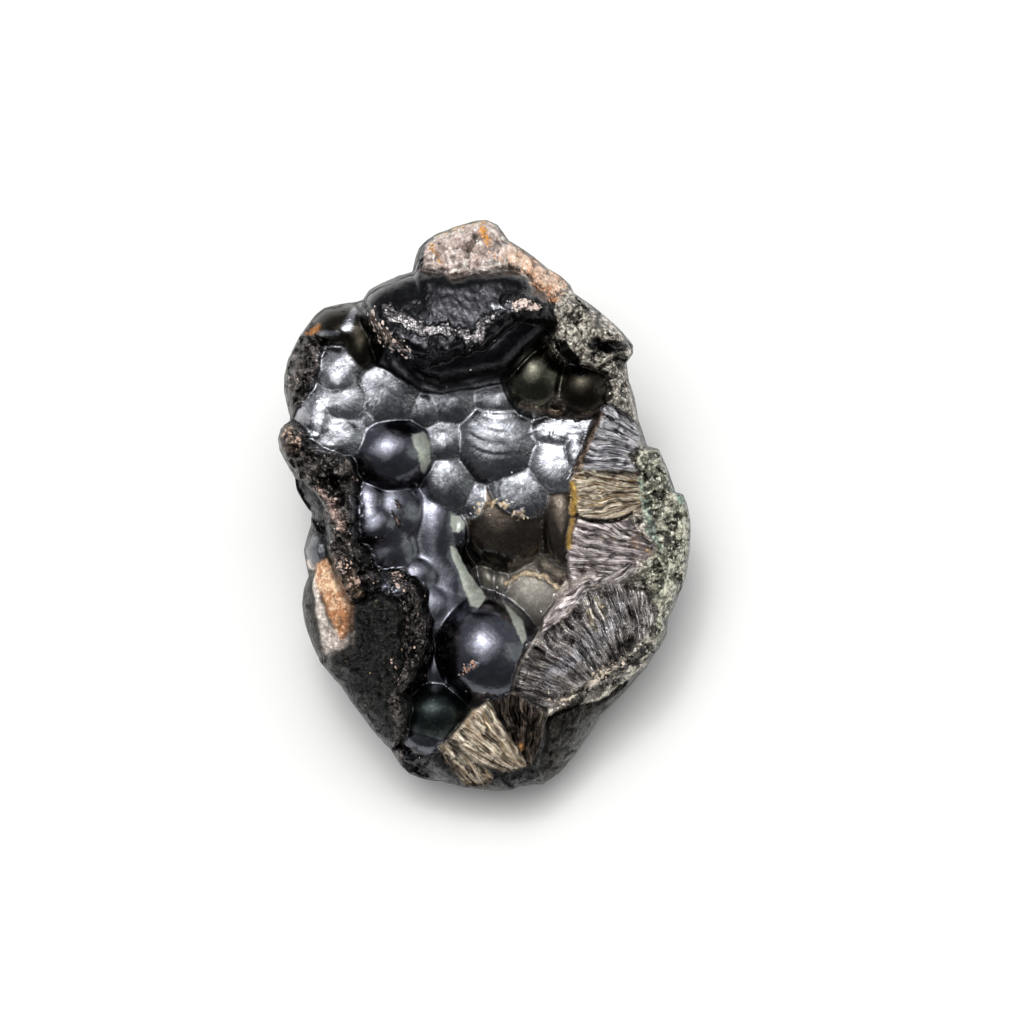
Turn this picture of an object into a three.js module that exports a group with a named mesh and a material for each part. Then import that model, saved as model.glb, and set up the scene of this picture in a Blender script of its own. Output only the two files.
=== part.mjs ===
// Botryoidal hematite ("kidney ore"): one hand specimen, lying on its back.
//
// The broken face looks up and leans a little towards -Y. Its middle is a hollow lined with
// glossy rounded domes, under an overhanging black ledge. Around the hollow are broken bands
// of radiating fibres, granular crust and rough ridges.
//
// The relief is a height w over the face plane (u to the right, v towards the peak), in mm:
// the highest of many domes and broken-edged slabs, with fibrous broken faces cut into it.
import * as THREE from 'three';

// ---- Driving dimensions, millimetres and degrees ----
const FACE_LENGTH = 150; // from the lowest point of the rim to the peak
const DRAWN_LENGTH = 150; // the same length in the lists below
const FACE_HALF_SIZES = [54, 75];
const RECLINE = 15;
const BODY_DEPTH = 56;
const SHOULDER_DROP = 15;
const SHOULDER_POWER = 12;
const FLANK_TAPER = 0.12;
const HEEL_ROUNDING = 0.28;
const FLANK_LUMP = 7;
const FLANK_LUMP_LENGTH = 20;
const FLANK_CREASE = 1.7;
const FLANK_SMOOTHING = 50;
const FLANK_REACH = 1.05;

// ---- Surface texture ----
const CREASE = 0.28;
const WANDER = 0.67;
const WANDER_LENGTH = 2.6;
const GRAIN_LENGTH = 4.7;
const GRAIN_HEIGHT = 0.9;
const STEP_SPACING = 4.5;
const STEP_LENGTH = 60;
const STEP_HEIGHT = 1.6;
const STEP_SHARPNESS = 5;
const BREAK_GRAIN = 0.5;
const KNOB_GRAIN = 0.6;
const OUTER_SLOPE = 2.5;
const CUT_BLEND = 0.3;
const DOME_EDGE = 0.93;
const PIT_EDGE = 1.15;
const PIT_FLOOR = 0.25;

// ---- Mesh counts ----
const COLUMNS = 50;
const ROWS = 70;
const FLANK_RINGS = 8;
const FLANK_SAMPLES = 11;
const BORDER_CROWDING = 0.85;
const BORDER_POWER = 8;

const SCALE = FACE_LENGTH / DRAWN_LENGTH;
const TURN = Math.PI / 180;
const CENTRE = [-1.3, 1.7];

// The rim of the face, anticlockwise from the peak's right side as [u, v].
const RIM = [
  [0, 75], [3.1, 73.9], [6.2, 69.5], [13, 65.1], [16.3, 62.3], [19.9, 60.2], [22.3, 57.9], [23.1, 55.6],
  [31.9, 49.3], [35.5, 46], [38.6, 42.3], [38.6, 40], [37, 37.7], [37.6, 33.3], [39.1, 28.9], [40.1, 23.2],
  [42.7, 15.9], [45.6, 15.2], [47.7, 10.7], [50, 3.8], [52.1, 3.2], [53.4, -0.1], [54.1, -5.1], [53.9, -10.5],
  [52.8, -18.3], [51.5, -22.1], [48.2, -29.7], [47.7, -33.8], [30.3, -55.3], [19.4, -70.8], [15.8, -73.2],
  [9.1, -73.9], [6.5, -75], [1.3, -75], [-5.2, -74.2], [-11.7, -72.6], [-15.8, -72.1], [-19.9, -70.6],
  [-22.3, -68.2], [-25.1, -63.6], [-32.4, -54.8], [-37.6, -47.3], [-43.5, -40.5], [-47.4, -31], [-48.2, -25.8],
  [-47.7, -21.6], [-46.4, -18.3], [-47.7, -11.5], [-45.8, -4.8], [-45.8, -1.7], [-49.7, 4.5], [-50, 8.2],
  [-53.6, 14.6], [-54.1, 17.7], [-53.4, 20.6], [-51, 22.4], [-52.8, 30.2], [-52.8, 34.3], [-51.8, 38.5],
  [-48.4, 45.2], [-44.5, 50.4], [-42.2, 52.2], [-31.9, 54], [-30.3, 56.6], [-27.2, 58.4], [-18.9, 61.5],
  [-18.4, 64.6], [-17.4, 67.5], [-15.5, 69.5], [-12.7, 71.4], [-2.6, 74.7],
];

// Rounded domes in groups; crease is how softly the domes of a group meet, in mm. Each dome is
// [u, v, half length, half width, turn, height of the crown, fall to the rim, lean along u and v].
const DOME_GROUPS = [
  {
    crease: 0.28,
    domes: [
      // upper part of the hollow
      [-25.1, 14.4, 12.9, 11.4, 0, -1, 13, 0.02, -0.05],
      [-26.4, 31.4, 13, 12.4, 0, -3.8, 6, -0.12, -0.1],
      [-18, 26.3, 6.7, 5.7, -30, -6.2, 3.5, 0.1, -0.05],
      [-11, 19.9, 8.5, 8, 0, -7.8, 4, 0, -0.26],
      [4.2, 17.3, 13.5, 12.6, -30, -5.6, 7, -0.04, -0.04],
      [3.2, 30, 8.3, 6.5, 0, -7, 4, 0, -0.25],
      [-8.3, 29.1, 9.5, 8.5, -20, -6.4, 6, -0.1, -0.1],
      // the pair of domes under the right end of the ledge, and the low one between them
      [13, 33.2, 8.5, 9.8, 0, 1.2, 9.5, 0, 0.08],
      [25.4, 30.2, 8.2, 8, 0, 0.4, 8, 0.05, 0.12],
      [18.6, 27.6, 4, 4.5, 0, -2.8, 4, 0, 0.1],
      // the middle
      [-8.8, 7, 8.6, 10, 10, -7.8, 6.5, -0.14, 0],
    ],
  },
  {
    crease: 0.8,
    domes: [
      // burnished domes at the upper left, and the two above them
      [-38.4, 36.2, 6.4, 6.6, 0, -0.9, 4.5, 0.08, -0.2],
      [-38.8, 28.6, 8.5, 6.5, 0, -2.1, 3.6, 0.12, -0.1],
      [-31.8, 25.9, 5, 6, 0, -4.2, 2.6, -0.02, -0.2],
      [-39.1, 18.5, 6.5, 4.6, 0, -1.9, 2, 0.08, -0.14],
      [-45.1, 23.1, 4.5, 6.5, -10, -1.3, 2.4, 0.12, -0.16],
      [-37.6, 48.3, 8.8, 6.2, 0, 0.9, 5.5, 0.05, -0.05],
      [-32.1, 44.4, 5.2, 9.3, 0, -0.1, 5.5, -0.05, 0],
    ],
  },
  {
    crease: 0.6,
    domes: [
      // burnished right side of the hollow
      [20.4, 12.6, 9.2, 9, 0, -5.7, 4.5, -0.1, -0.2],
      [23.5, 20.8, 11.9, 4.7, 5, -5.4, 2.6, 0.03, -0.15],
      [15.6, 13, 6, 6, 0, -7.6, 3, 0, -0.2],
      [23.5, 14.4, 2.3, 3.6, 5, -4.2, 1.6, 0, -0.15],
      // brown films towards the middle
      [9.4, 4.9, 8.6, 8, 0, -6.8, 3.6, 0.02, -0.1],
      [6.4, -2.7, 13.5, 14, -25, -8.2, 8, 0, 0.08],
      [2.6, -10.6, 9.5, 5.2, -38, -11.2, 6, 0, 0],
      [-0.9, 1.9, 6.5, 8.5, 20, -9.4, 4.8, 0.02, -0.1],
      [19.9, -2.4, 6.2, 15, 4, -6.8, 6.5, 0.05, 0.03],
      [19.3, -15.1, 7.3, 8.8, 0, -11.2, 5, 0.08, -0.1],
      [13.8, -23.4, 9.5, 8, -30, -11.8, 3, 0.04, -0.08],
    ],
  },
  {
    crease: 1.5,
    domes: [
      // the long smooth trunk on the left and the small domes beside it
      [-13.6, -5, 9.4, 15, 0, -8.9, 9.5, 0.06, 0],
      [-24.1, -0.8, 7.5, 9.5, 0, -5.9, 6.5, 0.02, -0.06],
      [-31.3, 1.9, 4.5, 5.5, 0, -5, 3, 0.08, -0.12],
      [-29.7, -4.4, 5.5, 4.6, 0, -4, 3.2, 0.08, -0.15],
      [-26.6, -11.8, 8.3, 7.2, 0, -6.5, 5, 0.05, 0.05],
      [-18.8, -18, 5.7, 4.7, 0, -7.8, 3.6, 0, -0.1],
      [-16.6, -25, 6.7, 5.2, 0, -8, 4, 0, 0],
      [-11.2, -18.6, 8.6, 13, 27, -9.9, 9, 0.1, 0],
      [-11.9, -29.6, 8.5, 8, 30, -8.1, 6.5, 0.05, 0.03],
      [-12.7, -40.3, 7.8, 10.4, 0, -9.6, 6, 0, 0],
    ],
  },
  {
    crease: 0.28,
    domes: [
      // the narrow swellings in the valley
      [-6.2, -6, 2.8, 4.8, 0, -10.6, 4.5, -0.3, 0],
      [0.6, -18.9, 3, 4.7, 30, -14.6, 5, 0.2, 0],
      [5, -20.6, 3.4, 4.6, 30, -13.4, 5, 0, 0],
      // the largest dome and the two below it
      [0.6, -38.3, 14.5, 16.1, 35, 0.5, 17, 0, 0],
      [-13.4, -54.8, 8, 7.3, 0, -3, 7, 0, 0.1],
      [-15.8, -60.7, 7.3, 5.2, -10, -5.6, 6, 0, 0],
      // small beads along the upper edge of the dull hollow on the left, and one on the left flank
      [-28.7, -21.1, 2.1, 2.1, 0, 4.6, 5, 0, 0],
      [-25.6, -20.8, 2.1, 2.3, 0, 4.8, 5, 0, 0],
      [-22.8, -21.9, 2.1, 2.3, 0, 4.4, 5, 0, 0],
      [-43.8, -11, 5.2, 6.2, 0, -3, 10, 0, -0.1],
      // the floor of the hollow
      [-1.3, 6.9, 103.6, 103.6, 0, -19, 30, 0, 0],
    ],
  },
];

// Rough knobs, in the same form as the domes: four along the ledge's nose, three on the left.
const KNOBS = [
  [-21, 45.2, 6.2, 4.1, -35, 13.5, 6, 0, -0.24],
  [-12.7, 42.3, 6.2, 4.4, 0, 15.5, 6, 0, -0.24],
  [-4.9, 44.2, 5.2, 4.1, 20, 15.8, 6, 0, -0.24],
  [9.8, 51.9, 7.3, 3.6, -5, 15, 6, 0, -0.24],
  [-50.5, 17.5, 4.4, 5.2, 0, 5, 9, 0, 0],
  [-45.6, -28.9, 5.2, 13, 0, -6, 12, 0, 0],
  [-34.4, -19, 3.6, 4.1, 0, 5.2, 8, 0, 0],
];

// Slabs: an outline with a rounded rim and a flat or tilted top.
// level is the top's height over [0, 0]; rise is its rise per mm to the right and up.
const SLABS = [
  {
    // smooth wall under the ledge
    level: 9, rise: [0, 0], rim: 8.8, fall: 16, grain: 0,
    outline: [
      [-31.6, 53.5], [-29.8, 56.3], [-25.9, 58.7], [-21.5, 60.7], [-16.8, 61.8], [-7.5, 59.4], [5.2, 61.5],
      [9.3, 60.5], [12.2, 58.4], [14.8, 55.3], [17.4, 51.9], [18.9, 48.3], [18.6, 44.4], [13.2, 40], [7, 33.5],
      [3.4, 32.2], [-11.7, 29.4], [-16.8, 30.7], [-20.7, 33], [-24.1, 36.1], [-29.8, 43.9], [-31.3, 48.8],
    ],
  },
  {
    // top of the ledge, highest along its nose
    level: 28.3, rise: [0, -0.3], rim: 3.9, fall: 7, grain: 0.3,
    outline: [
      [-31.3, 53.5], [-29.5, 56.3], [-25.6, 58.7], [-21.5, 60.7], [-16.8, 61.8], [-7.5, 59.4], [5.2, 61.5],
      [9.3, 60.5], [12.2, 58.4], [17.1, 51.9], [18.1, 48.3], [9.6, 48.6], [-0.8, 40], [-5.4, 39.8],
      [-9.6, 37.9], [-15.8, 37.7], [-24.3, 41.8], [-29.8, 49.3],
    ],
  },
  {
    // peak
    level: 14.5, rise: [0, -0.12], rim: 3.6, fall: 8, grain: 0.8,
    outline: [
      [-19.7, 59.7], [-17.9, 67.5], [-16.1, 70.1], [-13.2, 71.9], [-2.6, 75.8], [1.3, 76], [4.9, 73.4],
      [9.1, 67.5], [5.4, 60], [-7.8, 58.4], [-15.5, 59.7],
    ],
  },
  {
    // earthy slope right of the peak
    level: 15.2, rise: [-0.3, -0.1], rim: 2.6, fall: 6, grain: 0.8,
    outline: [
      [3.9, 69], [6.5, 70.6], [13.7, 65.9], [20.7, 61.3], [23.3, 58.7], [25.1, 55], [21.5, 51.9], [17.4, 53],
      [11.7, 58.7], [7.8, 60.7], [5.2, 63.3],
    ],
  },
  {
    // granular crust, upper right
    level: 11.1, rise: [-0.28, 0.05], rim: 2.3, fall: 9, grain: 1.2,
    outline: [
      [17.4, 47.8], [16.6, 53.5], [19.4, 55.6], [23.6, 57.1], [36.5, 46.7], [40.1, 42.6], [40.1, 40],
      [37.6, 37.4], [34.4, 38.5], [28.7, 35.6], [25.6, 36.4], [22.3, 37.9], [19.9, 40], [18.1, 43.6],
    ],
  },
  {
    // lower step of that crust
    level: 7.6, rise: [-0.25, 0], rim: 2.3, fall: 7, grain: 1.2,
    outline: [
      [26.2, 35.9], [34.4, 39.2], [38.1, 37.9], [38.6, 33.3], [41.4, 22.7], [38.6, 21.4], [30.3, 26.5],
      [31.6, 30.7], [31.1, 34.3],
    ],
  },
  {
    // body under the pair of domes
    level: -2, rise: [0, 0], rim: 4.1, fall: 8, grain: 0,
    outline: [
      [5.4, 33], [9.1, 37.2], [11.7, 39], [15.5, 39.5], [20.2, 35.1], [23.6, 34.3], [27.2, 35.9],
      [30.8, 35.6], [32.1, 32.8], [31.6, 29.1], [29.3, 25.5], [25.1, 23.7], [19.9, 23.7], [10.9, 26.5],
      [7.8, 29.4],
    ],
  },
  {
    // broken band along the right of the hollow
    level: -2.5, rise: [-0.12, 0.02], rim: 0.9, fall: 6, grain: 0.6,
    outline: [
      [30, 26], [33.9, 25.3], [38.6, 23.2], [41.4, 15.7], [41.4, 6.9], [42.7, -2.2], [45.3, -10],
      [44.3, -14.4], [42.2, -19], [47.4, -30.7], [46.4, -37.2], [41.4, -42.9], [35.5, -47.5], [29.8, -50.6],
      [23.3, -52.2], [15.5, -55], [9.6, -54.3], [6.7, -52.2], [6.5, -47.5], [8.3, -41.1], [10.4, -36.6],
      [13.5, -34.6], [17.6, -29.4], [19.4, -24.2], [22.3, -21.1], [21.2, -10.7], [23.8, -2.7], [22, 6.9],
    ],
  },
  {
    // granular crust, right
    level: 4.7, rise: [-0.28, 0], rim: 1.8, fall: 5, grain: 1.4,
    outline: [
      [38.1, 14.1], [41.4, 16.2], [46.1, 16.7], [50, 6.9], [53.1, 4.3], [54.9, -0.1], [55.4, -5.1],
      [54.1, -18.8], [49.2, -30.2], [48.7, -34.3], [42.2, -42.3], [40.1, -39.8], [44, -35.1], [43.3, -28.1],
      [41.2, -22.1], [40.1, -17], [42.2, -12.6], [42.7, -8.7], [40.1, -3.5], [39.9, 3], [38.6, 8.2],
    ],
  },
  {
    // smooth lower right flank
    level: 15.1, rise: [-0.25, 0.35], rim: 2.1, fall: 6, grain: 0.5,
    outline: [
      [45.3, -38.5], [31.3, -56.3], [20.2, -72.4], [15.8, -74.7], [11.7, -73.4], [12.2, -65.7],
      [16.3, -54.3], [29.8, -49.6], [35.5, -46.5],
    ],
  },
  {
    // bottom end
    level: 4.5, rise: [-0.02, 0.18], rim: 1, fall: 5, grain: 0.8,
    outline: [
      [-10.1, -60], [-3.9, -53.2], [3.9, -50.1], [15.5, -54.3], [15.8, -60.5], [14.2, -68.2], [16.3, -73.9],
      [1.3, -76.3], [-5.7, -75.2], [-16.3, -73.4], [-21, -71.9], [-23.6, -69], [-26.2, -64.4],
      [-22.5, -63.1], [-18.9, -64.9], [-14.2, -64.9],
    ],
  },
  {
    // rough upper left flank
    level: 14.2, rise: [0.35, 0], rim: 1, fall: 4, grain: 1,
    outline: [
      [-43.3, 46.2], [-42.2, 41.8], [-42.7, 37.9], [-45.8, 28.9], [-50.5, 22.1], [-52.8, 26.3],
      [-54.1, 30.2], [-54.1, 34.3], [-53.1, 39], [-47.1, 48.8], [-44.8, 48.8],
    ],
  },
  {
    // rough left ridge
    level: 4.4, rise: [0, 0], rim: 2.8, fall: 9, grain: 1.3,
    outline: [
      [-55.2, 17.7], [-54.4, 21.1], [-51.3, 23.2], [-47.9, 21.9], [-46.4, 18], [-43.3, 15.7], [-35, 12.6],
      [-33.7, 8.9], [-32.4, -10], [-29.8, -13.3], [-30.8, -18.5], [-32.4, -23.4], [-35, -25], [-37, -21.6],
      [-40.4, -12.6], [-42.2, -1.4], [-44.8, 2.2], [-50.5, 7.4], [-54.6, 14.6],
    ],
  },
  {
    // its lower end, a thin rim around the dull hollow
    level: 3.6, rise: [0, 0], rim: 2.3, fall: 8, grain: 1.3,
    outline: [
      [-34.4, -15.4], [-31.1, -15.9], [-27.2, -17.7], [-22.5, -17.5], [-19.2, -19.6], [-16.6, -23.7],
      [-15.3, -29.4], [-15.3, -35.9], [-16.6, -41.3], [-21.2, -49.3], [-23.6, -47.5], [-22.8, -42.9],
      [-21.2, -39.2], [-21.8, -34.6], [-21, -29.4], [-23.1, -25], [-27.2, -22.7], [-34.4, -25],
    ],
  },
  {
    // dull lower left flank
    level: 8.2, rise: [0.12, 0.1], rim: 2.6, fall: 6, grain: 0.7,
    outline: [
      [-35, -25.3], [-27.2, -21.9], [-23.1, -23.7], [-20.2, -28.9], [-20.7, -34.6], [-20.2, -39.8],
      [-22, -44.9], [-19.2, -53.2], [-22, -60], [-25.6, -65.1], [-33.9, -55.8], [-39.1, -48],
      [-45.6, -40.8], [-35, -35.9], [-35.5, -30.7],
    ],
  },
  {
    // outer left flank
    level: 8.2, rise: [0.3, 0], rim: 0.8, fall: 3, grain: 0.3,
    outline: [
      [-50.5, 9.5], [-44.3, 3.2], [-41.2, -1.4], [-39.1, -11.8], [-36.3, -21.6], [-34.4, -25.8],
      [-34.4, -32.5], [-36, -37.2], [-41.4, -40.3], [-46.6, -38.5], [-49, -31], [-49.7, -25.8],
      [-49.2, -21.6], [-47.9, -18.3], [-49.2, -11.5], [-47.4, -4.8], [-47.4, -1.7], [-51.3, 4.5],
    ],
  },
];

// Broken faces, each a tilted plane that replaces what is under it. Fibres fan out from a point.
const BREAKS = [
  {
    // shiny crinkled break, top of the right band
    level: 3.4, rise: [-0.25, 0.05], fan: [55.7, 9.5], fibre: 0.5,
    outline: [
      [30, 25.5], [32.9, 26.5], [37, 24.5], [40.4, 19.3], [40.1, 15.7], [37, 13.3], [40.1, 8.4], [23.3, 9.2],
    ],
  },
  {
    // pale fibres above the crack
    level: 1, rise: [-0.22, 0.02], fan: [53.1, 3.8], fibre: 0.45,
    outline: [
      [23.3, 9.5], [40.4, 9.2], [40.9, 1.7], [40.4, -1.9], [35, -2.7], [29.8, -3.5], [24.1, -2.7], [22, 6.9],
    ],
  },
  {
    // brown fibres below the crack
    level: -1.6, rise: [-0.18, -0.05], fan: [60.9, -17.7], fibre: 0.45,
    outline: [
      [23.8, -3], [29.8, -4], [38.1, -3.5], [40.4, -7.4], [44, -10], [43.5, -13.1], [39.4, -14.1],
      [36.3, -17], [22.3, -22.1], [21.2, -10.7],
    ],
  },
  {
    // narrow brown break beside the lower domes
    level: -5.6, rise: [-0.1, -0.1], fan: [55.7, -3.5], fibre: 0.35,
    outline: [
      [22, -21.6], [29.3, -19], [37, -14.6], [40.1, -15.4], [35.5, -20.3], [26.7, -22.7], [22.5, -27.3],
      [17.6, -31], [13.5, -34.8], [15.5, -29.4], [18.4, -25],
    ],
  },
  {
    // shiny break, lower right
    level: -1.5, rise: [-0.12, 0.05], fan: [45.3, -60.5], fibre: 0.6,
    outline: [
      [26.7, -22.1], [32.9, -19.6], [41.4, -22.1], [45.3, -27.3], [41.2, -34.6], [32.9, -41.8],
      [27.7, -43.4], [19.9, -31], [22.5, -26.8],
    ],
  },
  {
    // fan of fibres beside the largest dome
    level: -6, rise: [0.1, 0.05], fan: [36.3, -53.2], fibre: 0.55,
    outline: [
      [13.5, -34.6], [17.6, -30.7], [20.2, -31.5], [24.1, -37.7], [28.7, -43.4], [24.6, -47.5],
      [19.9, -50.1], [15.5, -53.5], [7.8, -52.2], [6.7, -47.5], [8.3, -41.1], [10.4, -36.6],
    ],
  },
  {
    // pale fibres, bottom end
    level: 6.6, rise: [0.03, 0.2], fan: [16.3, -73.9], fibre: 0.5,
    outline: [
      [-8.5, -60], [-4.4, -54.3], [0.5, -50.6], [3.6, -53.2], [6.5, -60], [10.9, -67.2], [6.5, -69.5],
      [1.3, -68], [-3.9, -65.1],
    ],
  },
  {
    // lower facet of the pale fibres
    level: 7.8, rise: [0.05, 0.25], fan: [9.1, -83.8], fibre: 0.5,
    outline: [[-12.2, -62.5], [-9.6, -60.7], [-0.8, -68], [1.8, -70.8], [0.3, -73.9], [-4.9, -73.2]],
  },
  {
    // dark column of fibres, bottom end
    level: 2.4, rise: [0.05, 0.15], fan: [10.9, -73.4], fibre: 0.6,
    outline: [[0.5, -50.6], [7.3, -48], [15.8, -53.7], [14.8, -60.5], [12.2, -67.7], [9.6, -64.9]],
  },
  {
    // pale break on the peak
    level: 12.4, rise: [-0.05, -0.1], fan: [-4.9, 40.5], fibre: 0.2,
    outline: [
      [-14, 65.9], [-12.7, 69], [-8.5, 71.1], [-2.6, 72.9], [2.1, 71.4], [4.1, 67.7], [3.9, 63.3],
      [0, 61.8], [-6.5, 60.7], [-13.5, 63.6],
    ],
  },
  {
    // ochre break, left
    level: 5.5, rise: [0.2, 0.05], fan: [-39.4, -101.9], fibre: 0.15,
    outline: [
      [-40.9, -13.3], [-34.4, -25.8], [-35, -32.5], [-36.8, -34.8], [-39.4, -31.5], [-44, -19.6],
      [-43.8, -14.9],
    ],
  },
  {
    // pale border of the ochre break
    level: 7.5, rise: [0.2, 0.1], fan: [-39.4, -101.9], fibre: 0.15,
    outline: [
      [-44, -17.7], [-42.7, -24.2], [-39.9, -31.5], [-36.8, -34.8], [-34.4, -32.5], [-35, -35.9],
      [-41.4, -39.2], [-42.7, -34.6], [-44.8, -21.6],
    ],
  },
  {
    // smooth concave scar, outer left flank
    level: 4.6, rise: [0.3, 0.1], fan: [-39.4, -101.9], fibre: 0,
    outline: [
      [-50, 7.9], [-47.4, 6.6], [-43.3, 3], [-41.4, -2.2], [-41.2, -7.4], [-43.3, -6.3], [-45.6, -3],
      [-48.7, 3.8],
    ],
  },
];

// An open crack across the right band.
const CRACK = [
  [23.8, -2.5], [27.2, -3.2], [31.1, -3.5], [35, -3], [38.3, -1.4], [38.3, -1.9], [35, -3.9],
  [31.1, -4.4], [27.2, -4.1],
];
const CRACK_DEPTH = 4;
const CRACK_WALL = [-0.4, 0.3];

// Pits in the rough parts: [u, v, half length, half width, turn, depth].
const PITS = [
  [31.9, 41.6, 4.4, 1.9, -8, 3.5],
  [22, 39.2, 4.5, 1.5, -53, 2.5],
  [-38.1, 6.3, 3.4, 1.8, 10, 3.2],
  [35.5, -37.7, 5.5, 3, 48, 3.5],
  [34.4, -46.7, 3, 1.8, 35, 3],
  [42.4, 3.4, 3, 1.5, -70, 1.8],
  [47.4, -3.5, 2.5, 1.5, 20, 1.5],
  [-16.8, -68.3, 6, 3.2, -25, 3],
];

/** A repeatable number in 0..1 for a whole-numbered place. */
function hash(i, j, k) {
  const s = Math.sin(i * 127.1 + j * 311.7 + k * 74.7) * 43758.5453;
  return s - Math.floor(s);
}

/** Smooth noise in -1..1, one feature per unit. */
function noise(x, y, z) {
  const [i, j, k] = [Math.floor(x), Math.floor(y), Math.floor(z)];
  const ease = (t) => t * t * (3 - 2 * t);
  const [a, b, c] = [ease(x - i), ease(y - j), ease(z - k)];
  const mix = (p, q, t) => p + (q - p) * t;
  const edge = (dj, dk) => mix(hash(i, j + dj, k + dk), hash(i + 1, j + dj, k + dk), a);
  return 2 * mix(mix(edge(0, 0), edge(1, 0), b), mix(edge(0, 1), edge(1, 1), b), c) - 1;
}

/** Noise summed over octaves, each half as large and half as high. */
function fractal(x, y, z, octaves) {
  let sum = 0;
  let total = 0;
  for (let o = 0; o < octaves; o++) {
    const f = 2 ** o;
    const a = 0.5 ** o;
    sum += a * noise(x * f + 17.3 * o, y * f - 9.1 * o, z * f + 4.7 * o);
    total += a;
  }
  return sum / total;
}

/** 0 at one end, 1 at the other, and eased between them. */
function smoothstep(from, to, t) {
  const x = THREE.MathUtils.clamp((t - from) / (to - from), 0, 1);
  return x * x * (3 - 2 * x);
}

/** Distance from [u, v] to a closed outline, positive inside. */
function insideDistance(u, v, outline) {
  let nearest = Infinity;
  let inside = false;
  outline.forEach(([u1, v1], n) => {
    const [u2, v2] = outline[(n + 1) % outline.length];
    const [du, dv] = [u2 - u1, v2 - v1];
    const t = THREE.MathUtils.clamp(((u - u1) * du + (v - v1) * dv) / (du * du + dv * dv), 0, 1);
    nearest = Math.min(nearest, Math.hypot(u - u1 - t * du, v - v1 - t * dv));
    if ((v1 > v) !== (v2 > v) && u < u1 + (du * (v - v1)) / dv) {
      inside = !inside;
    }
  });
  return inside ? nearest : -nearest;
}

/** Places in an ellipse's own axes, where its edge is at a distance of one. */
function ellipseDistance(u, v, [cu, cv, length, width, turn]) {
  const [c, s] = [Math.cos(turn * TURN), Math.sin(turn * TURN)];
  const [du, dv] = [u - cu, v - cv];
  return Math.hypot((du * c + dv * s) / length, (dv * c - du * s) / width);
}

/** Height of a dome: a leaning quarter ellipse from crown to rim, then straight on down. */
function domeHeight(u, v, dome) {
  const [cu, cv, , , , crown, fall, leanU, leanV] = dome;
  const d = ellipseDistance(u, v, dome);
  const t = Math.min(d, DOME_EDGE);
  const steepness = DOME_EDGE / Math.sqrt(1 - DOME_EDGE * DOME_EDGE);
  const drop = 1 - Math.sqrt(1 - t * t) + steepness * Math.max(d - DOME_EDGE, 0);
  return crown + leanU * (u - cu) + leanV * (v - cv) - fall * drop;
}

/** The largest height, a little more where two are nearly equal, so that joins are soft. */
function softMaximum(heights, softness) {
  const top = Math.max(...heights);
  return top + softness * Math.log(heights.reduce((sum, h) => sum + Math.exp((h - top) / softness), 0));
}

/** Height of a slab: its tilted top, rounded down over the rim and steep outside. */
function slabHeight(u, v, slab, distance, grain) {
  const inward = THREE.MathUtils.clamp(distance / slab.rim, 0, 1);
  const rounding = 1 - Math.sqrt(1 - (1 - inward) ** 2);
  const top = slab.level + slab.rise[0] * u + slab.rise[1] * v;
  return top - slab.fall * rounding + slab.grain * grain + OUTER_SLOPE * Math.min(distance, 0);
}

/** Height of a broken face: its plane with splinters that run along the fibres. */
function breakHeight(u, v, face, grain) {
  const [fu, fv] = face.fan;
  const [mu, mv] = face.outline[0];
  const away = Math.hypot(u - fu, v - fv);
  const reach = Math.hypot(mu - fu, mv - fv);
  const bearing = Math.atan2(v - fv, u - fu) - Math.atan2(mv - fv, mu - fu);
  const across = Math.asin(Math.sin(bearing / 2)) * 2 * reach;
  const step = Math.tanh(STEP_SHARPNESS * noise(across / STEP_SPACING, away / STEP_LENGTH, 9.1));
  const plane = face.level + face.rise[0] * u + face.rise[1] * v;
  return plane + STEP_HEIGHT * face.fibre * step + BREAK_GRAIN * grain;
}

/** The rim's distance from the centre in a direction, by polar interpolation round the rim. */
const rimPolar = RIM.map(([u, v]) => ({
  angle: Math.atan2(v - CENTRE[1], u - CENTRE[0]),
  reach: Math.hypot(u - CENTRE[0], v - CENTRE[1]),
})).sort((a, b) => a.angle - b.angle);

function rimReach(direction) {
  const angle = Math.atan2(Math.sin(direction), Math.cos(direction));
  const count = rimPolar.length;
  const next = rimPolar.findIndex((p) => p.angle > angle);
  const after = rimPolar[next < 0 ? 0 : next];
  const before = rimPolar[((next < 0 ? 0 : next) + count - 1) % count];
  const span = (after.angle - before.angle + 2 * Math.PI) % (2 * Math.PI);
  const part = ((angle - before.angle + 2 * Math.PI) % (2 * Math.PI)) / span;
  return before.reach + (after.reach - before.reach) * part;
}

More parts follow.
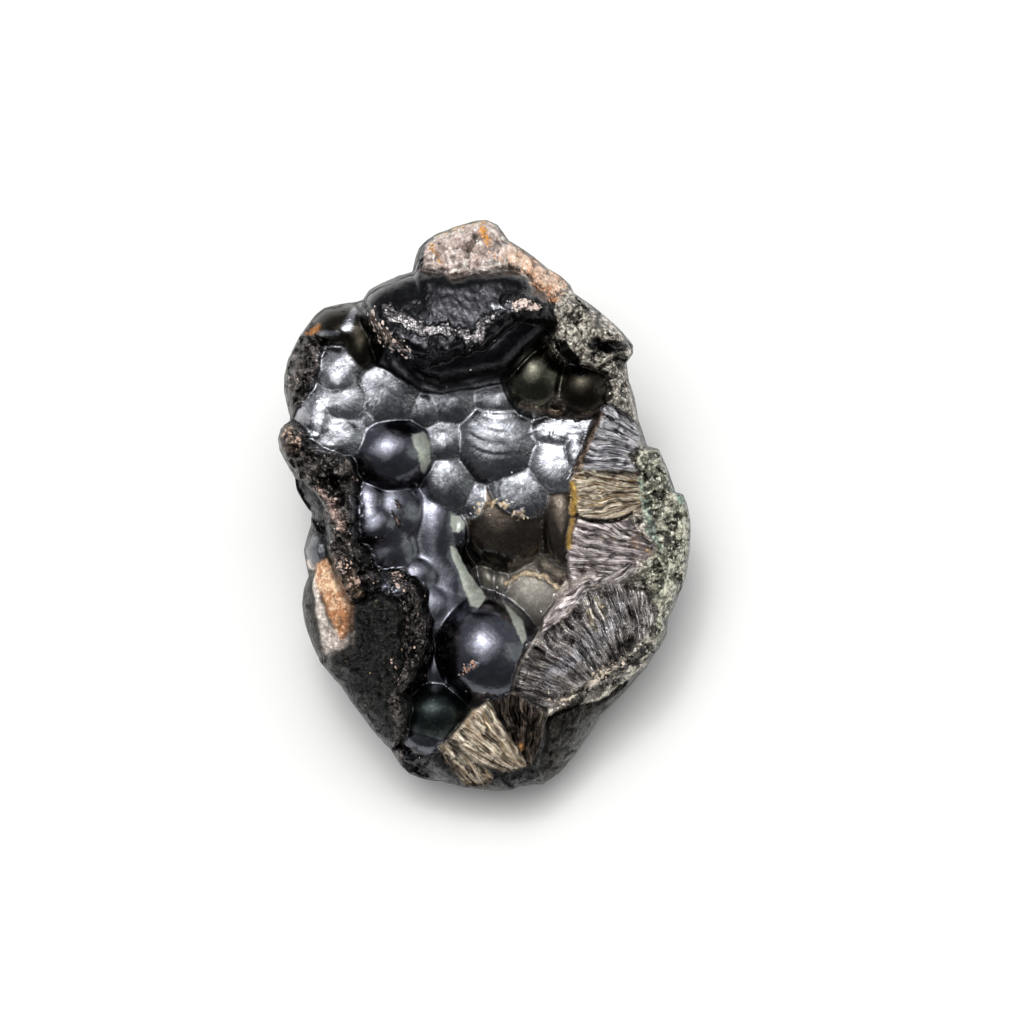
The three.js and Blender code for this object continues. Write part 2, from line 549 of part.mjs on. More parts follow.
/** The face's height w over [u, v]; edge is 0 at the centre and 1 on the rim. */
function faceHeight(u, v, edge) {
  const f = 1 / WANDER_LENGTH;
  const wu = u + WANDER * fractal(u * f, v * f, 2, 2);
  const wv = v + WANDER * fractal(u * f + 40, v * f, 5, 2);
  const grain = GRAIN_HEIGHT * noise(u / GRAIN_LENGTH + 7, v / GRAIN_LENGTH, 1);
  const heights = DOME_GROUPS.map(({ crease, domes }) =>
    softMaximum(domes.map((dome) => domeHeight(u, v, dome)), crease));
  heights.push(...KNOBS.map((knob) => domeHeight(wu, wv, knob) + KNOB_GRAIN * grain));
  for (const slab of SLABS) {
    const [su, sv] = slab.grain > 0 ? [wu, wv] : [u, v];
    heights.push(slabHeight(u, v, slab, insideDistance(su, sv, slab.outline), grain));
  }
  let w = softMaximum(heights, CREASE);
  for (const face of BREAKS) {
    const share = smoothstep(-CUT_BLEND, CUT_BLEND, insideDistance(wu, wv, face.outline));
    if (share > 0) {
      w += (breakHeight(u, v, face, grain) - w) * share;
    }
  }
  for (const pit of PITS) {
    w -= pit[5] * smoothstep(PIT_EDGE, PIT_FLOOR, ellipseDistance(wu, wv, pit));
  }
  w -= CRACK_DEPTH * smoothstep(...CRACK_WALL, insideDistance(u, v, CRACK));
  return w - SHOULDER_DROP * (1 - Math.sqrt(Math.max(0, 1 - edge ** SHOULDER_POWER)));
}

/** Places a face point: leans the face back, lifts it onto the resting plane and scales it. */
function place(u, v, w) {
  const [c, s] = [Math.cos(RECLINE * TURN), Math.sin(RECLINE * TURN)];
  return [u * SCALE, (v * c - w * s) * SCALE, (v * s + w * c + BODY_DEPTH) * SCALE];
}

/** Depth of the resting plane under [u, v], in face coordinates. */
const restingDepth = (v) => -(v * Math.sin(RECLINE * TURN) + BODY_DEPTH) / Math.cos(RECLINE * TURN);

/** The face as a grid of COLUMNS by ROWS cells, bent from a square to the rim's outline. */
function buildFace() {
  const [halfWidth, halfLength] = FACE_HALF_SIZES;
  const points = [];
  for (let j = 0; j <= ROWS; j++) {
    for (let i = 0; i <= COLUMNS; i++) {
      const a = (2 * i) / COLUMNS - 1;
      const b = (2 * j) / ROWS - 1;
      const ring = Math.max(Math.abs(a), Math.abs(b));
      const quarter = Math.PI / 4;
      const wide = Math.abs(a) > Math.abs(b);
      const turn = wide ? quarter * (b / a) : Math.PI / 2 - quarter * (ring > 0 ? a / b : 0);
      const sign = (wide ? a : b) < 0 ? -1 : 1;
      const angle = Math.atan2(sign * halfLength * Math.sin(turn), sign * halfWidth * Math.cos(turn));
      const edge = ring + BORDER_CROWDING * ring ** BORDER_POWER * (1 - ring);
      const reach = edge * rimReach(angle);
      const u = CENTRE[0] + reach * Math.cos(angle);
      const v = CENTRE[1] + reach * Math.sin(angle);
      points.push([u, v, faceHeight(u, v, edge)]);
    }
  }
  return points;
}

/** Indices of the grid's border, anticlockwise seen from above. */
function borderLoop() {
  const at = (i, j) => j * (COLUMNS + 1) + i;
  const loop = [];
  for (let i = 0; i < COLUMNS; i++) loop.push(at(i, 0));
  for (let j = 0; j < ROWS; j++) loop.push(at(COLUMNS, j));
  for (let i = COLUMNS; i > 0; i--) loop.push(at(i, ROWS));
  for (let j = ROWS; j > 0; j--) loop.push(at(0, j));
  return loop;
}

/** The rim's distance from the centre, averaged over a fan of directions. */
function smoothReach(angle) {
  let sum = 0;
  for (let n = 0; n < FLANK_SAMPLES; n++) {
    sum += rimReach(angle + (n / (FLANK_SAMPLES - 1) - 0.5) * FLANK_SMOOTHING * TURN);
  }
  return sum / FLANK_SAMPLES;
}

/** One flank point: down and in from a rim point, by a share of a quarter turn. */
function flankPoint([u, v, w], quarterShare) {
  const turn = (quarterShare * Math.PI) / 2;
  const [down, heel] = [Math.sin(turn), 1 - Math.cos(turn)];
  const angle = Math.atan2(v - CENTRE[1], u - CENTRE[0]);
  const rim = Math.hypot(u - CENTRE[0], v - CENTRE[1]);
  const depth = w - restingDepth(v);
  const f = 1 / FLANK_LUMP_LENGTH;
  const crease = 1 - FLANK_CREASE * Math.abs(fractal(u * f, v * f, (w - depth * down) * f, 2));
  const inward = depth * (FLANK_TAPER * down + HEEL_ROUNDING * heel);
  const smooth = Math.min(smoothReach(angle), rim * FLANK_REACH);
  const reach = rim + (smooth - rim) * down - inward - FLANK_LUMP * crease * Math.sin(2 * turn);
  const fu = CENTRE[0] + reach * Math.cos(angle);
  const fv = CENTRE[1] + reach * Math.sin(angle);
  return [fu, fv, w + (restingDepth(fv) - w) * down];
}

/** The whole specimen as one closed surface: face, flanks and the flat patch it lies on. */
function buildSpecimen() {
  const points = buildFace();
  const triangles = [];
  for (let j = 0; j < ROWS; j++) {
    for (let i = 0; i < COLUMNS; i++) {
      const p = j * (COLUMNS + 1) + i;
      const q = p + COLUMNS + 1;
      const mainRise = Math.abs(points[p][2] - points[q + 1][2]);
      const crossRise = Math.abs(points[p + 1][2] - points[q][2]);
      if (mainRise < crossRise) {
        triangles.push(p, p + 1, q + 1, p, q + 1, q);
      } else {
        triangles.push(p, p + 1, q, p + 1, q + 1, q);
      }
    }
  }
  const rim = borderLoop();
  const half = rim.length / 2;
  let upper = [];
  for (let ring = 1; ring <= FLANK_RINGS; ring++) {
    const lower = [];
    for (let k = 0; k < half; k++) {
      lower.push(points.length);
      points.push(flankPoint(points[rim[2 * k]], ring / FLANK_RINGS));
    }
    for (let k = 0; k < half; k++) {
      const [a, b] = [lower[k], lower[(k + 1) % half]];
      if (ring === 1) {
        const [p, q, r] = [rim[2 * k], rim[2 * k + 1], rim[(2 * k + 2) % rim.length]];
        triangles.push(p, a, q, q, a, b, q, b, r);
      } else {
        const [p, q] = [upper[k], upper[(k + 1) % half]];
        triangles.push(p, a, b, p, b, q);
      }
    }
    upper = lower;
  }
  const pole = points.length;
  points.push([CENTRE[0], CENTRE[1], restingDepth(CENTRE[1])]);
  for (let k = 0; k < half; k++) {
    triangles.push(upper[k], pole, upper[(k + 1) % half]);
  }
  const geometry = new THREE.BufferGeometry();
  const positions = points.flatMap(([u, v, w]) => place(u, v, w));
  geometry.setAttribute('position', new THREE.Float32BufferAttribute(positions, 3));
  geometry.setIndex(triangles);
  return geometry;
}

/** Moves a geometry so that the middle of its underside is the origin. */
function standOnOrigin(geometry) {
  geometry.computeBoundingBox();
  const { min, max } = geometry.boundingBox;
  geometry.translate(-(min.x + max.x) / 2, -(min.y + max.y) / 2, -min.z);
  geometry.computeVertexNormals();
  return geometry;
}

const hematite = new THREE.Mesh(
  standOnOrigin(buildSpecimen()),
  new THREE.MeshStandardMaterial({ color: 0x2e2c30, roughness: 0.3, metalness: 0.8 }),
);
hematite.name = 'hematite';

const group = new THREE.Group();
group.add(hematite);

export default group;
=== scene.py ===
# %% [markdown]
# # A hand specimen of botryoidal hematite
# Botryoidal hematite, or kidney ore, grows outwards from many points at once. Each point makes a
# dome of fine fibres, and the domes meet in sharp creases. This lesson models one broken piece of
# it: a hollow lined with glossy domes, and round it the broken edges of the same crust, where the
# fibres show, together with earthy iron oxides and granular rock.

import bpy
import numpy as np
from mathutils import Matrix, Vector


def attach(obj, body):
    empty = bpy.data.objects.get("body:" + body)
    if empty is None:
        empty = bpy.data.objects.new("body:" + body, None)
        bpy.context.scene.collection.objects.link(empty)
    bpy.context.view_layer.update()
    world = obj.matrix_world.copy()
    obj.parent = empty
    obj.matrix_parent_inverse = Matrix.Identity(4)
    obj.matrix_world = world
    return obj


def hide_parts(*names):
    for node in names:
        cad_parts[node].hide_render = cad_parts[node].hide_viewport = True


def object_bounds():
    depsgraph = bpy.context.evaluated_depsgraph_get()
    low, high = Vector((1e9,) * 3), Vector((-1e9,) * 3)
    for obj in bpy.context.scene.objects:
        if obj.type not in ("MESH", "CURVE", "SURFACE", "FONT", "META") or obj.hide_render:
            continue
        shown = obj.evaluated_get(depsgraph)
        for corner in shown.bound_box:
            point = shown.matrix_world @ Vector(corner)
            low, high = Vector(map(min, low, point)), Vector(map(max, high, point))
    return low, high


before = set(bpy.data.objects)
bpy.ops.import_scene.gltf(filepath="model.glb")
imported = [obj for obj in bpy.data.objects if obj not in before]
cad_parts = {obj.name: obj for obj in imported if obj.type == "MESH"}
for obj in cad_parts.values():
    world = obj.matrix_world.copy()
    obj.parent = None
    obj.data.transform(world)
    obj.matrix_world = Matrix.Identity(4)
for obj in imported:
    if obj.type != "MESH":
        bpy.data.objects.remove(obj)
cad_low, cad_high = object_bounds()
print("frame box in mm:", [round(1000 * (b - a), 1) for a, b in zip(cad_low, cad_high)])

# %% [markdown]
# ## The face as a drawing
# The specimen lies on its back. Its broken face is drawn flat, in millimetres: u runs to the
# right and v towards the peak, and the height w stands up from the drawing. Later the face leans
# back by the recline angle. The rim is the longest outline, because a broken edge has no formula.

# %% Driving sizes and the rim
RECLINE = np.radians(15.0)
BODY_DEPTH = 56.0
CENTRE = (-1.3, 1.7)
RIM = [
    (0, 75), (3.1, 73.9), (6.2, 69.5), (13, 65.1), (16.3, 62.3), (19.9, 60.2), (22.3, 57.9), (23.1, 55.6),
    (31.9, 49.3), (35.5, 46), (38.6, 42.3), (38.6, 40), (37, 37.7), (37.6, 33.3), (39.1, 28.9),
    (40.1, 23.2), (42.7, 15.9), (45.6, 15.2), (47.7, 10.7), (50, 3.8), (52.1, 3.2), (53.4, -0.1),
    (54.1, -5.1), (53.9, -10.5), (52.8, -18.3), (51.5, -22.1), (48.2, -29.7), (47.7, -33.8),
    (30.3, -55.3), (19.4, -70.8), (15.8, -73.2), (9.1, -73.9), (6.5, -75), (1.3, -75), (-5.2, -74.2),
    (-11.7, -72.6), (-15.8, -72.1), (-19.9, -70.6), (-22.3, -68.2), (-25.1, -63.6), (-32.4, -54.8),
    (-37.6, -47.3), (-43.5, -40.5), (-47.4, -31), (-48.2, -25.8), (-47.7, -21.6), (-46.4, -18.3),
    (-47.7, -11.5), (-45.8, -4.8), (-45.8, -1.7), (-49.7, 4.5), (-50, 8.2), (-53.6, 14.6), (-54.1, 17.7),
    (-53.4, 20.6), (-51, 22.4), (-52.8, 30.2), (-52.8, 34.3), (-51.8, 38.5), (-48.4, 45.2), (-44.5, 50.4),
    (-42.2, 52.2), (-31.9, 54), (-30.3, 56.6), (-27.2, 58.4), (-18.9, 61.5), (-18.4, 64.6), (-17.4, 67.5),
    (-15.5, 69.5), (-12.7, 71.4), (-2.6, 74.7),
]
print("rim points:", len(RIM))

# %% [markdown]
# ## A grid bent to the rim
# The face needs cells of nearly even size right up to its ragged rim. A square grid does that
# when its square rings are bent: first to elliptic rings, then each ring to the rim's own shape.
# Every later step works on the whole arrays of this grid at once.

# %% Grid of the face
COLUMNS, ROWS = 236, 330
HALF_LENGTH, HALF_WIDTH = 75, 54
OUTER_RINGS_PACKED = 0.85


def rim_reach(angle):
    """Distance from the centre to the rim, linear in the angle between the rim's points."""
    rim = np.array(RIM) - CENTRE
    angles, reaches = np.arctan2(rim[:, 1], rim[:, 0]), np.hypot(rim[:, 0], rim[:, 1])
    order = np.argsort(angles)
    return np.interp(angle, angles[order], reaches[order], period=2 * np.pi)


def face_places():
    """Square rings become elliptic rings by equal angles; the rim's reach then scales them."""
    a, b = np.meshgrid(np.linspace(-1, 1, COLUMNS + 1), np.linspace(-1, 1, ROWS + 1))
    ring = np.maximum(abs(a), abs(b))
    wide = abs(a) > abs(b)
    safe = np.where(ring > 0, ring, 1)
    slant = np.where(wide, b, a) / np.where(wide, a, np.where(b == 0, safe, b))
    turn = np.where(wide, np.pi / 4 * slant, np.pi / 2 - np.pi / 4 * slant)
    sign = np.where(np.where(wide, a, b) < 0, -1, 1)
    angle = np.arctan2(sign * HALF_LENGTH * np.sin(turn), sign * HALF_WIDTH * np.cos(turn))
    edge = ring + OUTER_RINGS_PACKED * ring**8 * (1 - ring)
    reach = edge * rim_reach(angle)
    return CENTRE[0] + reach * np.cos(angle), CENTRE[1] + reach * np.sin(angle), edge


face_u, face_v, face_edge = face_places()
print("face grid:", face_u.shape)

# %% [markdown]
# ## Repeatable noise
# Rock is never smooth, but a model has to come out the same each time. The noise here is a hash
# of whole-numbered places, blended smoothly between them, so it needs no random seed.

# %% Noise on whole arrays
def hash01(i, j, k):
    """The fraction left of a large multiple of a sine: a fixed number in 0..1 for a place."""
    s = np.sin(i * 127.1 + j * 311.7 + k * 74.7) * 43758.5453
    return s - np.floor(s)


def noise(x, y, z=0.0):
    """Eight corner hashes of the unit cell, mixed along x, y and z with t*t*(3 - 2t)."""
    z = z + 0 * x
    i, j, k = np.floor(x), np.floor(y), np.floor(z)
    a, b, c = (t * t * (3 - 2 * t) for t in (x - i, y - j, z - k))

    def edge(dj, dk):
        start = hash01(i, j + dj, k + dk)
        return start + (hash01(i + 1, j + dj, k + dk) - start) * a

    near = edge(0, 0) + (edge(1, 0) - edge(0, 0)) * b
    far = edge(0, 1) + (edge(1, 1) - edge(0, 1)) * b
    return 2 * (near + (far - near) * c) - 1


def fractal(x, y, z, octaves):
    """A sum of noises, each at twice the pitch and half the height of the one before."""
    total = 0
    for o in range(octaves):
        k = 2.0**o
        total = total + noise(x * k + 17.3 * o, y * k - 9.1 * o, z * k + 4.7 * o) / k
    return total / (2 - 0.5 ** (octaves - 1))


print("noise at a few places:", np.round(noise(np.arange(4) * 0.37, 0.5 + np.zeros(4)), 3))

# %% [markdown]
# ## Chips
# Broken ore doesn't end in round bumps but in small flat faces. A jittered grid of points does
# that: each place takes the height and the tilt of its nearest point, so every cell is one chip.

# %% Chips on whole arrays
CHIP_TILT = 1.4


def smoothstep(low, high, t):
    """0 below low, 1 above high, and t*t*(3 - 2t) between them."""
    t = np.clip((t - low) / (high - low), 0, 1)
    return t * t * (3 - 2 * t)


def chips(x, y, seed):
    """The nearest point of a jittered grid gives each place its height and its tilt."""
    i, j = np.floor(x), np.floor(y)
    nearest, height = np.full(x.shape, np.inf), np.zeros(x.shape)
    for a, b in ((i + di, j + dj) for di in (-1, 0, 1) for dj in (-1, 0, 1)):
        dx, dy = x - a - hash01(a, b, seed), y - b - hash01(a, b, seed + 1)
        level, tilt_x, tilt_y = (hash01(a, b, seed + k) - 0.5 for k in (2, 3, 4))
        closer = dx * dx + dy * dy < nearest
        nearest = np.where(closer, dx * dx + dy * dy, nearest)
        height = np.where(closer, level + CHIP_TILT * (tilt_x * dx + tilt_y * dy), height)
    return height


print("chips stand between", np.round(np.percentile(chips(face_u, face_v, 1), (1, 99)), 2))

# %% [markdown]
# ## Distances on the drawing
# Drawn outlines need two measures: how far a place is from an edge, and whether it is inside.
# Domes need a third, which is how far out a place is in an ellipse's own axes.

# %% Distances
def segment_distance(u, v, start, end):
    """Distance to the nearest point of a segment."""
    (u1, v1), (u2, v2) = start, end
    du, dv = u2 - u1, v2 - v1
    t = np.clip(((u - u1) * du + (v - v1) * dv) / (du * du + dv * dv), 0, 1)
    return np.hypot(u - u1 - t * du, v - v1 - t * dv)


def inside_distance(u, v, outline):
    """The least distance to the outline's segments, positive inside by the even-odd rule."""
    nearest = np.full(u.shape, np.inf)
    inside = np.zeros(u.shape, bool)
    for start, end in zip(outline, outline[1:] + outline[:1]):
        nearest = np.minimum(nearest, segment_distance(u, v, start, end))
        if end[1] != start[1]:
            reach = start[0] + (end[0] - start[0]) * (v - start[1]) / (end[1] - start[1])
            inside ^= ((start[1] > v) != (end[1] > v)) & (u < reach)
    return np.where(inside, nearest, -nearest)


def ellipse_distance(u, v, centre_u, centre_v, length, width, turn):
    """The place in an ellipse's own axes, where the ellipse itself is at a distance of one."""
    c, s = np.cos(np.radians(turn)), np.sin(np.radians(turn))
    du, dv = u - centre_u, v - centre_v
    return np.hypot((du * c + dv * s) / length, (dv * c - du * s) / width)


print("the rim's centre is", round(float(inside_distance(*np.array(CENTRE), RIM)), 1), "mm inside it")

# %% [markdown]
# ## Domes
# A dome of kidney ore is nearly a cap of a ball, flatter where its neighbours crowd it. Here it
# is a quarter ellipse turned about its crown, and it may lean, as if the whole cap were tipped.
# The highest dome wins at each place, so creases appear by themselves where two domes meet, just
# as they do in the mineral.

# %% Where the domes grew
# Each group has the softness of its creases in mm. A dome has a finish, then u, v, half length,
# half width, turn in degrees, crown height, fall to its rim, and its lean along u and along v.
DOMES = [
    (0.28, [
        # upper part of the hollow
        ("gloss", -25.1, 14.4, 12.9, 11.4, 0, -1, 13, 0.02, -0.05),
        ("satin", -26.4, 31.4, 13, 12.4, 0, -3.8, 6, -0.12, -0.1),
        ("satin", -18, 26.3, 6.7, 5.7, -30, -6.2, 3.5, 0.1, -0.05),
        ("satin", -11, 19.9, 8.5, 8, 0, -7.8, 4, 0, -0.26),
        ("satin", 4.2, 17.3, 13.5, 12.6, -30, -5.6, 7, -0.04, -0.04),
        ("satin", 3.2, 30, 8.3, 6.5, 0, -7, 4, 0, -0.25),
        ("satin", -8.3, 29.1, 9.5, 8.5, -20, -6.4, 6, -0.1, -0.1),
        # the pair of domes under the right end of the ledge, and the low one between them
        ("olive", 13, 33.2, 8.5, 9.8, 0, 1.2, 9.5, 0, 0.08),
        ("shade", 25.4, 30.2, 8.2, 8, 0, 0.4, 8, 0.05, 0.12),
        ("shade", 18.6, 27.6, 4, 4.5, 0, -2.8, 4, 0, 0.1),
        # the middle
        ("satin", -8.8, 7, 8.6, 10, 10, -7.8, 6.5, -0.14, 0),
    ]),
    (0.8, [
        # burnished domes at the upper left, and the two above them
        ("burnish", -38.4, 36.2, 6.4, 6.6, 0, -0.9, 4.5, 0.08, -0.2),
        ("burnish", -38.8, 28.6, 8.5, 6.5, 0, -2.1, 3.6, 0.12, -0.1),
        ("burnish", -31.8, 25.9, 5, 6, 0, -4.2, 2.6, -0.02, -0.2),
        ("burnish", -39.1, 18.5, 6.5, 4.6, 0, -1.9, 2, 0.08, -0.14),
        ("burnish", -45.1, 23.1, 4.5, 6.5, -10, -1.3, 2.4, 0.12, -0.16),
        ("shade", -37.6, 48.3, 8.8, 6.2, 0, 0.9, 5.5, 0.05, -0.05),
        ("shade", -32.1, 44.4, 5.2, 9.3, 0, -0.1, 5.5, -0.05, 0),
    ]),
    (0.6, [
        # burnished right side of the hollow
        ("burnish", 20.4, 12.6, 9.2, 9, 0, -5.7, 4.5, -0.1, -0.2),
        ("burnish", 23.5, 20.8, 11.9, 4.7, 5, -5.4, 2.6, 0.03, -0.15),
        ("burnish", 15.6, 13, 6, 6, 0, -7.6, 3, 0, -0.2),
        ("burnish", 23.5, 14.4, 2.3, 3.6, 5, -4.2, 1.6, 0, -0.15),
        # brown films towards the middle
        ("satin", 9.4, 4.9, 8.6, 8, 0, -6.8, 3.6, 0.02, -0.1),
        ("brown", 6.4, -2.7, 13.5, 14, -25, -8.2, 8, 0, 0.08),
        ("shade", 2.6, -10.6, 9.5, 5.2, -38, -11.2, 6, 0, 0),
        ("satin", -0.9, 1.9, 6.5, 8.5, 20, -9.4, 4.8, 0.02, -0.1),
        ("brown", 19.9, -2.4, 6.2, 15, 4, -6.8, 6.5, 0.05, 0.03),
        ("brown", 19.3, -15.1, 7.3, 8.8, 0, -11.2, 5, 0.08, -0.1),
        ("dusty", 13.8, -23.4, 9.5, 8, -30, -11.8, 3, 0.04, -0.08),
    ]),
    (1.5, [
        # the long smooth trunk on the left and the small domes beside it
        ("gloss", -13.6, -5, 9.4, 15, 0, -8.9, 9.5, 0.06, 0),
        ("gloss", -24.1, -0.8, 7.5, 9.5, 0, -5.9, 6.5, 0.02, -0.06),
        ("gloss", -31.3, 1.9, 4.5, 5.5, 0, -5, 3, 0.08, -0.12),
        ("gloss", -29.7, -4.4, 5.5, 4.6, 0, -4, 3.2, 0.08, -0.15),
        ("gloss", -26.6, -11.8, 8.3, 7.2, 0, -6.5, 5, 0.05, 0.05),
        ("gloss", -18.8, -18, 5.7, 4.7, 0, -7.8, 3.6, 0, -0.1),
        ("gloss", -16.6, -25, 6.7, 5.2, 0, -8, 4, 0, 0),
        ("gloss", -11.2, -18.6, 8.6, 13, 27, -9.9, 9, 0.1, 0),
        ("gloss", -11.9, -29.6, 8.5, 8, 30, -8.1, 6.5, 0.05, 0.03),
        ("gloss", -12.7, -40.3, 7.8, 10.4, 0, -9.6, 6, 0, 0),
    ]),
    (0.28, [
        # the narrow swellings in the valley
        ("gloss", -6.2, -6, 2.8, 4.8, 0, -10.6, 4.5, -0.3, 0),
        ("dusty", 0.6, -18.9, 3, 4.7, 30, -14.6, 5, 0.2, 0),
        ("dusty", 5, -20.6, 3.4, 4.6, 30, -13.4, 5, 0, 0),
        # the largest dome and the two below it
        ("gloss", 0.6, -38.3, 14.5, 16.1, 35, 0.5, 17, 0, 0),
        ("green", -13.4, -54.8, 8, 7.3, 0, -3, 7, 0, 0.1),
        ("gloss", -15.8, -60.7, 7.3, 5.2, -10, -5.6, 6, 0, 0),
        # small beads along the upper edge of the dull hollow on the left, and one on the left flank
        ("gloss", -28.7, -21.1, 2.1, 2.1, 0, 4.6, 5, 0, 0),
        ("gloss", -25.6, -20.8, 2.1, 2.3, 0, 4.8, 5, 0, 0),
        ("gloss", -22.8, -21.9, 2.1, 2.3, 0, 4.4, 5, 0, 0),
        ("satin", -43.8, -11, 5.2, 6.2, 0, -3, 10, 0, -0.1),
        # the floor of the hollow
        ("gloss", -1.3, 6.9, 103.6, 103.6, 0, -19, 30, 0, 0),
    ]),
]
print("domes:", sum(len(domes) for _, domes in DOMES))

# %% [markdown]
# ## Where two domes meet
# A plain maximum would leave each crease as sharp as a knife. A soft maximum leaves it a fraction
# of a millimetre wide, so that it catches the light. The gap between the highest dome and the next
# is kept as well, because a pale highlight is painted along the creases where it is small.

# %% Heights of the domes
DOME_EDGE = 0.93
FIBRES_ROUND_A_DOME = 6
LOW = -99.0


def dome_height(u, v, dome):
    """Crown plus lean, less the fall times 1 - sqrt(1 - d*d); straight on down outside."""
    cu, cv, length, width, turn, crown, fall, lean_u, lean_v = dome
    d = ellipse_distance(u, v, cu, cv, length, width, turn)
    t = np.minimum(d, DOME_EDGE)
    steepness = DOME_EDGE / np.sqrt(1 - DOME_EDGE**2)
    drop = 1 - np.sqrt(1 - t * t) + steepness * np.maximum(d - DOME_EDGE, 0)
    return crown + lean_u * (u - cu) + lean_v * (v - cv) - fall * drop


def soft_maximum(heights, softness):
    """The largest height, plus the softness times the log of the sum of e^(difference/softness)."""
    top = np.maximum.reduce(heights)
    return top + softness * np.log(sum(np.exp((h - top) / softness) for h in heights))


shapes, grown = [], []
across, along = face_u, face_v
best, second = np.full(face_u.shape, LOW), np.full(face_u.shape, LOW)
for softness, domes in DOMES:
    heights = [dome_height(face_u, face_v, dome) for _, *dome in domes]
    grown.append(soft_maximum(heights, softness))
    for (name, cu, cv, *_), height in zip(domes, heights):
        shapes.append((name, height))
        wins = height > best
        second = np.where(wins, best, np.maximum(second, height))
        best = np.where(wins, height, best)
        bearing = np.arctan2(face_v - cv, face_u - cu)
        across = np.where(wins, FIBRES_ROUND_A_DOME * np.sin(bearing), across)
        along = np.where(wins, np.hypot(face_u - cu, face_v - cv), along)
face_gap = best - second
print("dome heights in mm:", round(best.min(), 1), "to", round(best.max(), 1))

# %% [markdown]
# ## Growth rings and wrinkles
# Some domes show the stages that they grew in, as shallow steps round the point where they
# started. The flattest ones have silky wrinkles instead. Both are under half a millimetre high,
# but the gloss makes them plain to see, so they are real relief.

# %% Growth rings
# growth point, first and last radius, spacing, height, and the ellipse that they stay in
RINGS = [
    ((5.2, 34.0), (9.0, 24.0), 2.9, 0.30, (5.2, 18.8, 10.5, 7.5, 0)),
    ((-5.5, 34.5), (5.0, 13.0), 2.4, 0.07, (-10.0, 28.5, 7.0, 6.5, 0)),
    ((9.1, 4.3), (4.6, 6.6), 1.9, 0.20, (9.1, 4.3, 8.0, 8.0, 0)),
    ((-20.0, 36.0), (4.0, 16.0), 1.7, 0.07, (-22.0, 31.0, 8.0, 9.0, 0)),
    ((22.0, 30.0), (6.0, 16.0), 1.6, 0.10, (22.0, 20.0, 9.0, 4.5, 0)),
]
RING_WANDER, RING_WANDER_LENGTH = 1.1, 6
RING_FADE_LENGTH = 7
RISING_PART = 0.75


def growth_rings(u, v):
    """A rounded saw tooth of the distance from each growth point, faded out at its ellipse."""
    total = np.zeros(u.shape)
    wander = RING_WANDER * noise(u / RING_WANDER_LENGTH, v / RING_WANDER_LENGTH, 3.7)
    fade = 0.6 + 0.4 * noise(u / RING_FADE_LENGTH, v / RING_FADE_LENGTH, 8.1)
    for (cu, cv), (first, last), spacing, height, ellipse in RINGS:
        r = np.hypot(u - cu, v - cv) + wander
        phase = (r / spacing) % 1.0
        falling = (1 - phase) / (1 - RISING_PART)
        tooth = np.where(phase < RISING_PART, phase / RISING_PART, falling) - 0.5
        inside = smoothstep(1.0, 0.75, ellipse_distance(u, v, *ellipse))
        band = smoothstep(first - 0.5, first + 0.5, r) * smoothstep(last + 1, last - 1, r)
        total += height * tooth * inside * band * fade
    return total


smooth_relief = growth_rings(face_u, face_v)
print("growth rings, highest in mm:", round(smooth_relief.max(), 2))

# %% Silky wrinkles
# the ellipse that they stay in, and their height
WRINKLES = [
    ((-40.0, 24.0, 8.0, 11.0, 0), 0.35), ((-11.0, 20.0, 6.0, 6.0, 0), 0.12),
    ((20.0, 15.0, 9.0, 8.0, 0), 0.15),
]
WRINKLE_WIDTH, WRINKLE_LENGTH = 3.4, 5.0

creased = 1 - 2 * abs(fractal(face_u / WRINKLE_LENGTH, face_v / WRINKLE_WIDTH, 5.5, 2))
for ellipse, height in WRINKLES:
    smooth_relief += height * creased * smoothstep(1.0, 0.5, ellipse_distance(face_u, face_v, *ellipse))
print("with the wrinkles:", round(smooth_relief.max(), 2))

# %% [markdown]
# ## Knobs, slabs and rough relief
# The crusts, the ridge and the ledge are rougher than the domes. Knobs are domes with a rough
# skin. Slabs are drawn outlines with a rounded rim and a tilted top. Grains, blocks and crumbs
# larger than half a millimetre are in the mesh, so that they cast shadows and break up the
# outline, and the outlines themselves wander a little.

# %% Grains, blocks and crumbs
GRAIN_LENGTH, GRAIN_HEIGHT = 2.35, 0.8
BLOCK_LENGTH, BLOCK_HEIGHT = 3.6, 1.6
CRUMB_LENGTH, CRUMB_HEIGHT = 1.5, 0.9
WANDER, WANDER_LENGTH = 0.67, 2.6

frequency = 1 / WANDER_LENGTH
wander_u = face_u + WANDER * fractal(face_u * frequency, face_v * frequency, 2, 2)
wander_v = face_v + WANDER * fractal(face_u * frequency + 40, face_v * frequency, 5, 2)
rough_relief = (
    GRAIN_HEIGHT * fractal(face_u / GRAIN_LENGTH + 7, face_v / GRAIN_LENGTH, 1, 3)
    + BLOCK_HEIGHT * chips(wander_u / BLOCK_LENGTH, wander_v / BLOCK_LENGTH, 6)
    + CRUMB_HEIGHT * chips(wander_u / CRUMB_LENGTH, wander_v / CRUMB_LENGTH, 16)
)
print("rough relief in mm:", np.round(np.percentile(rough_relief, (1, 99)), 1))

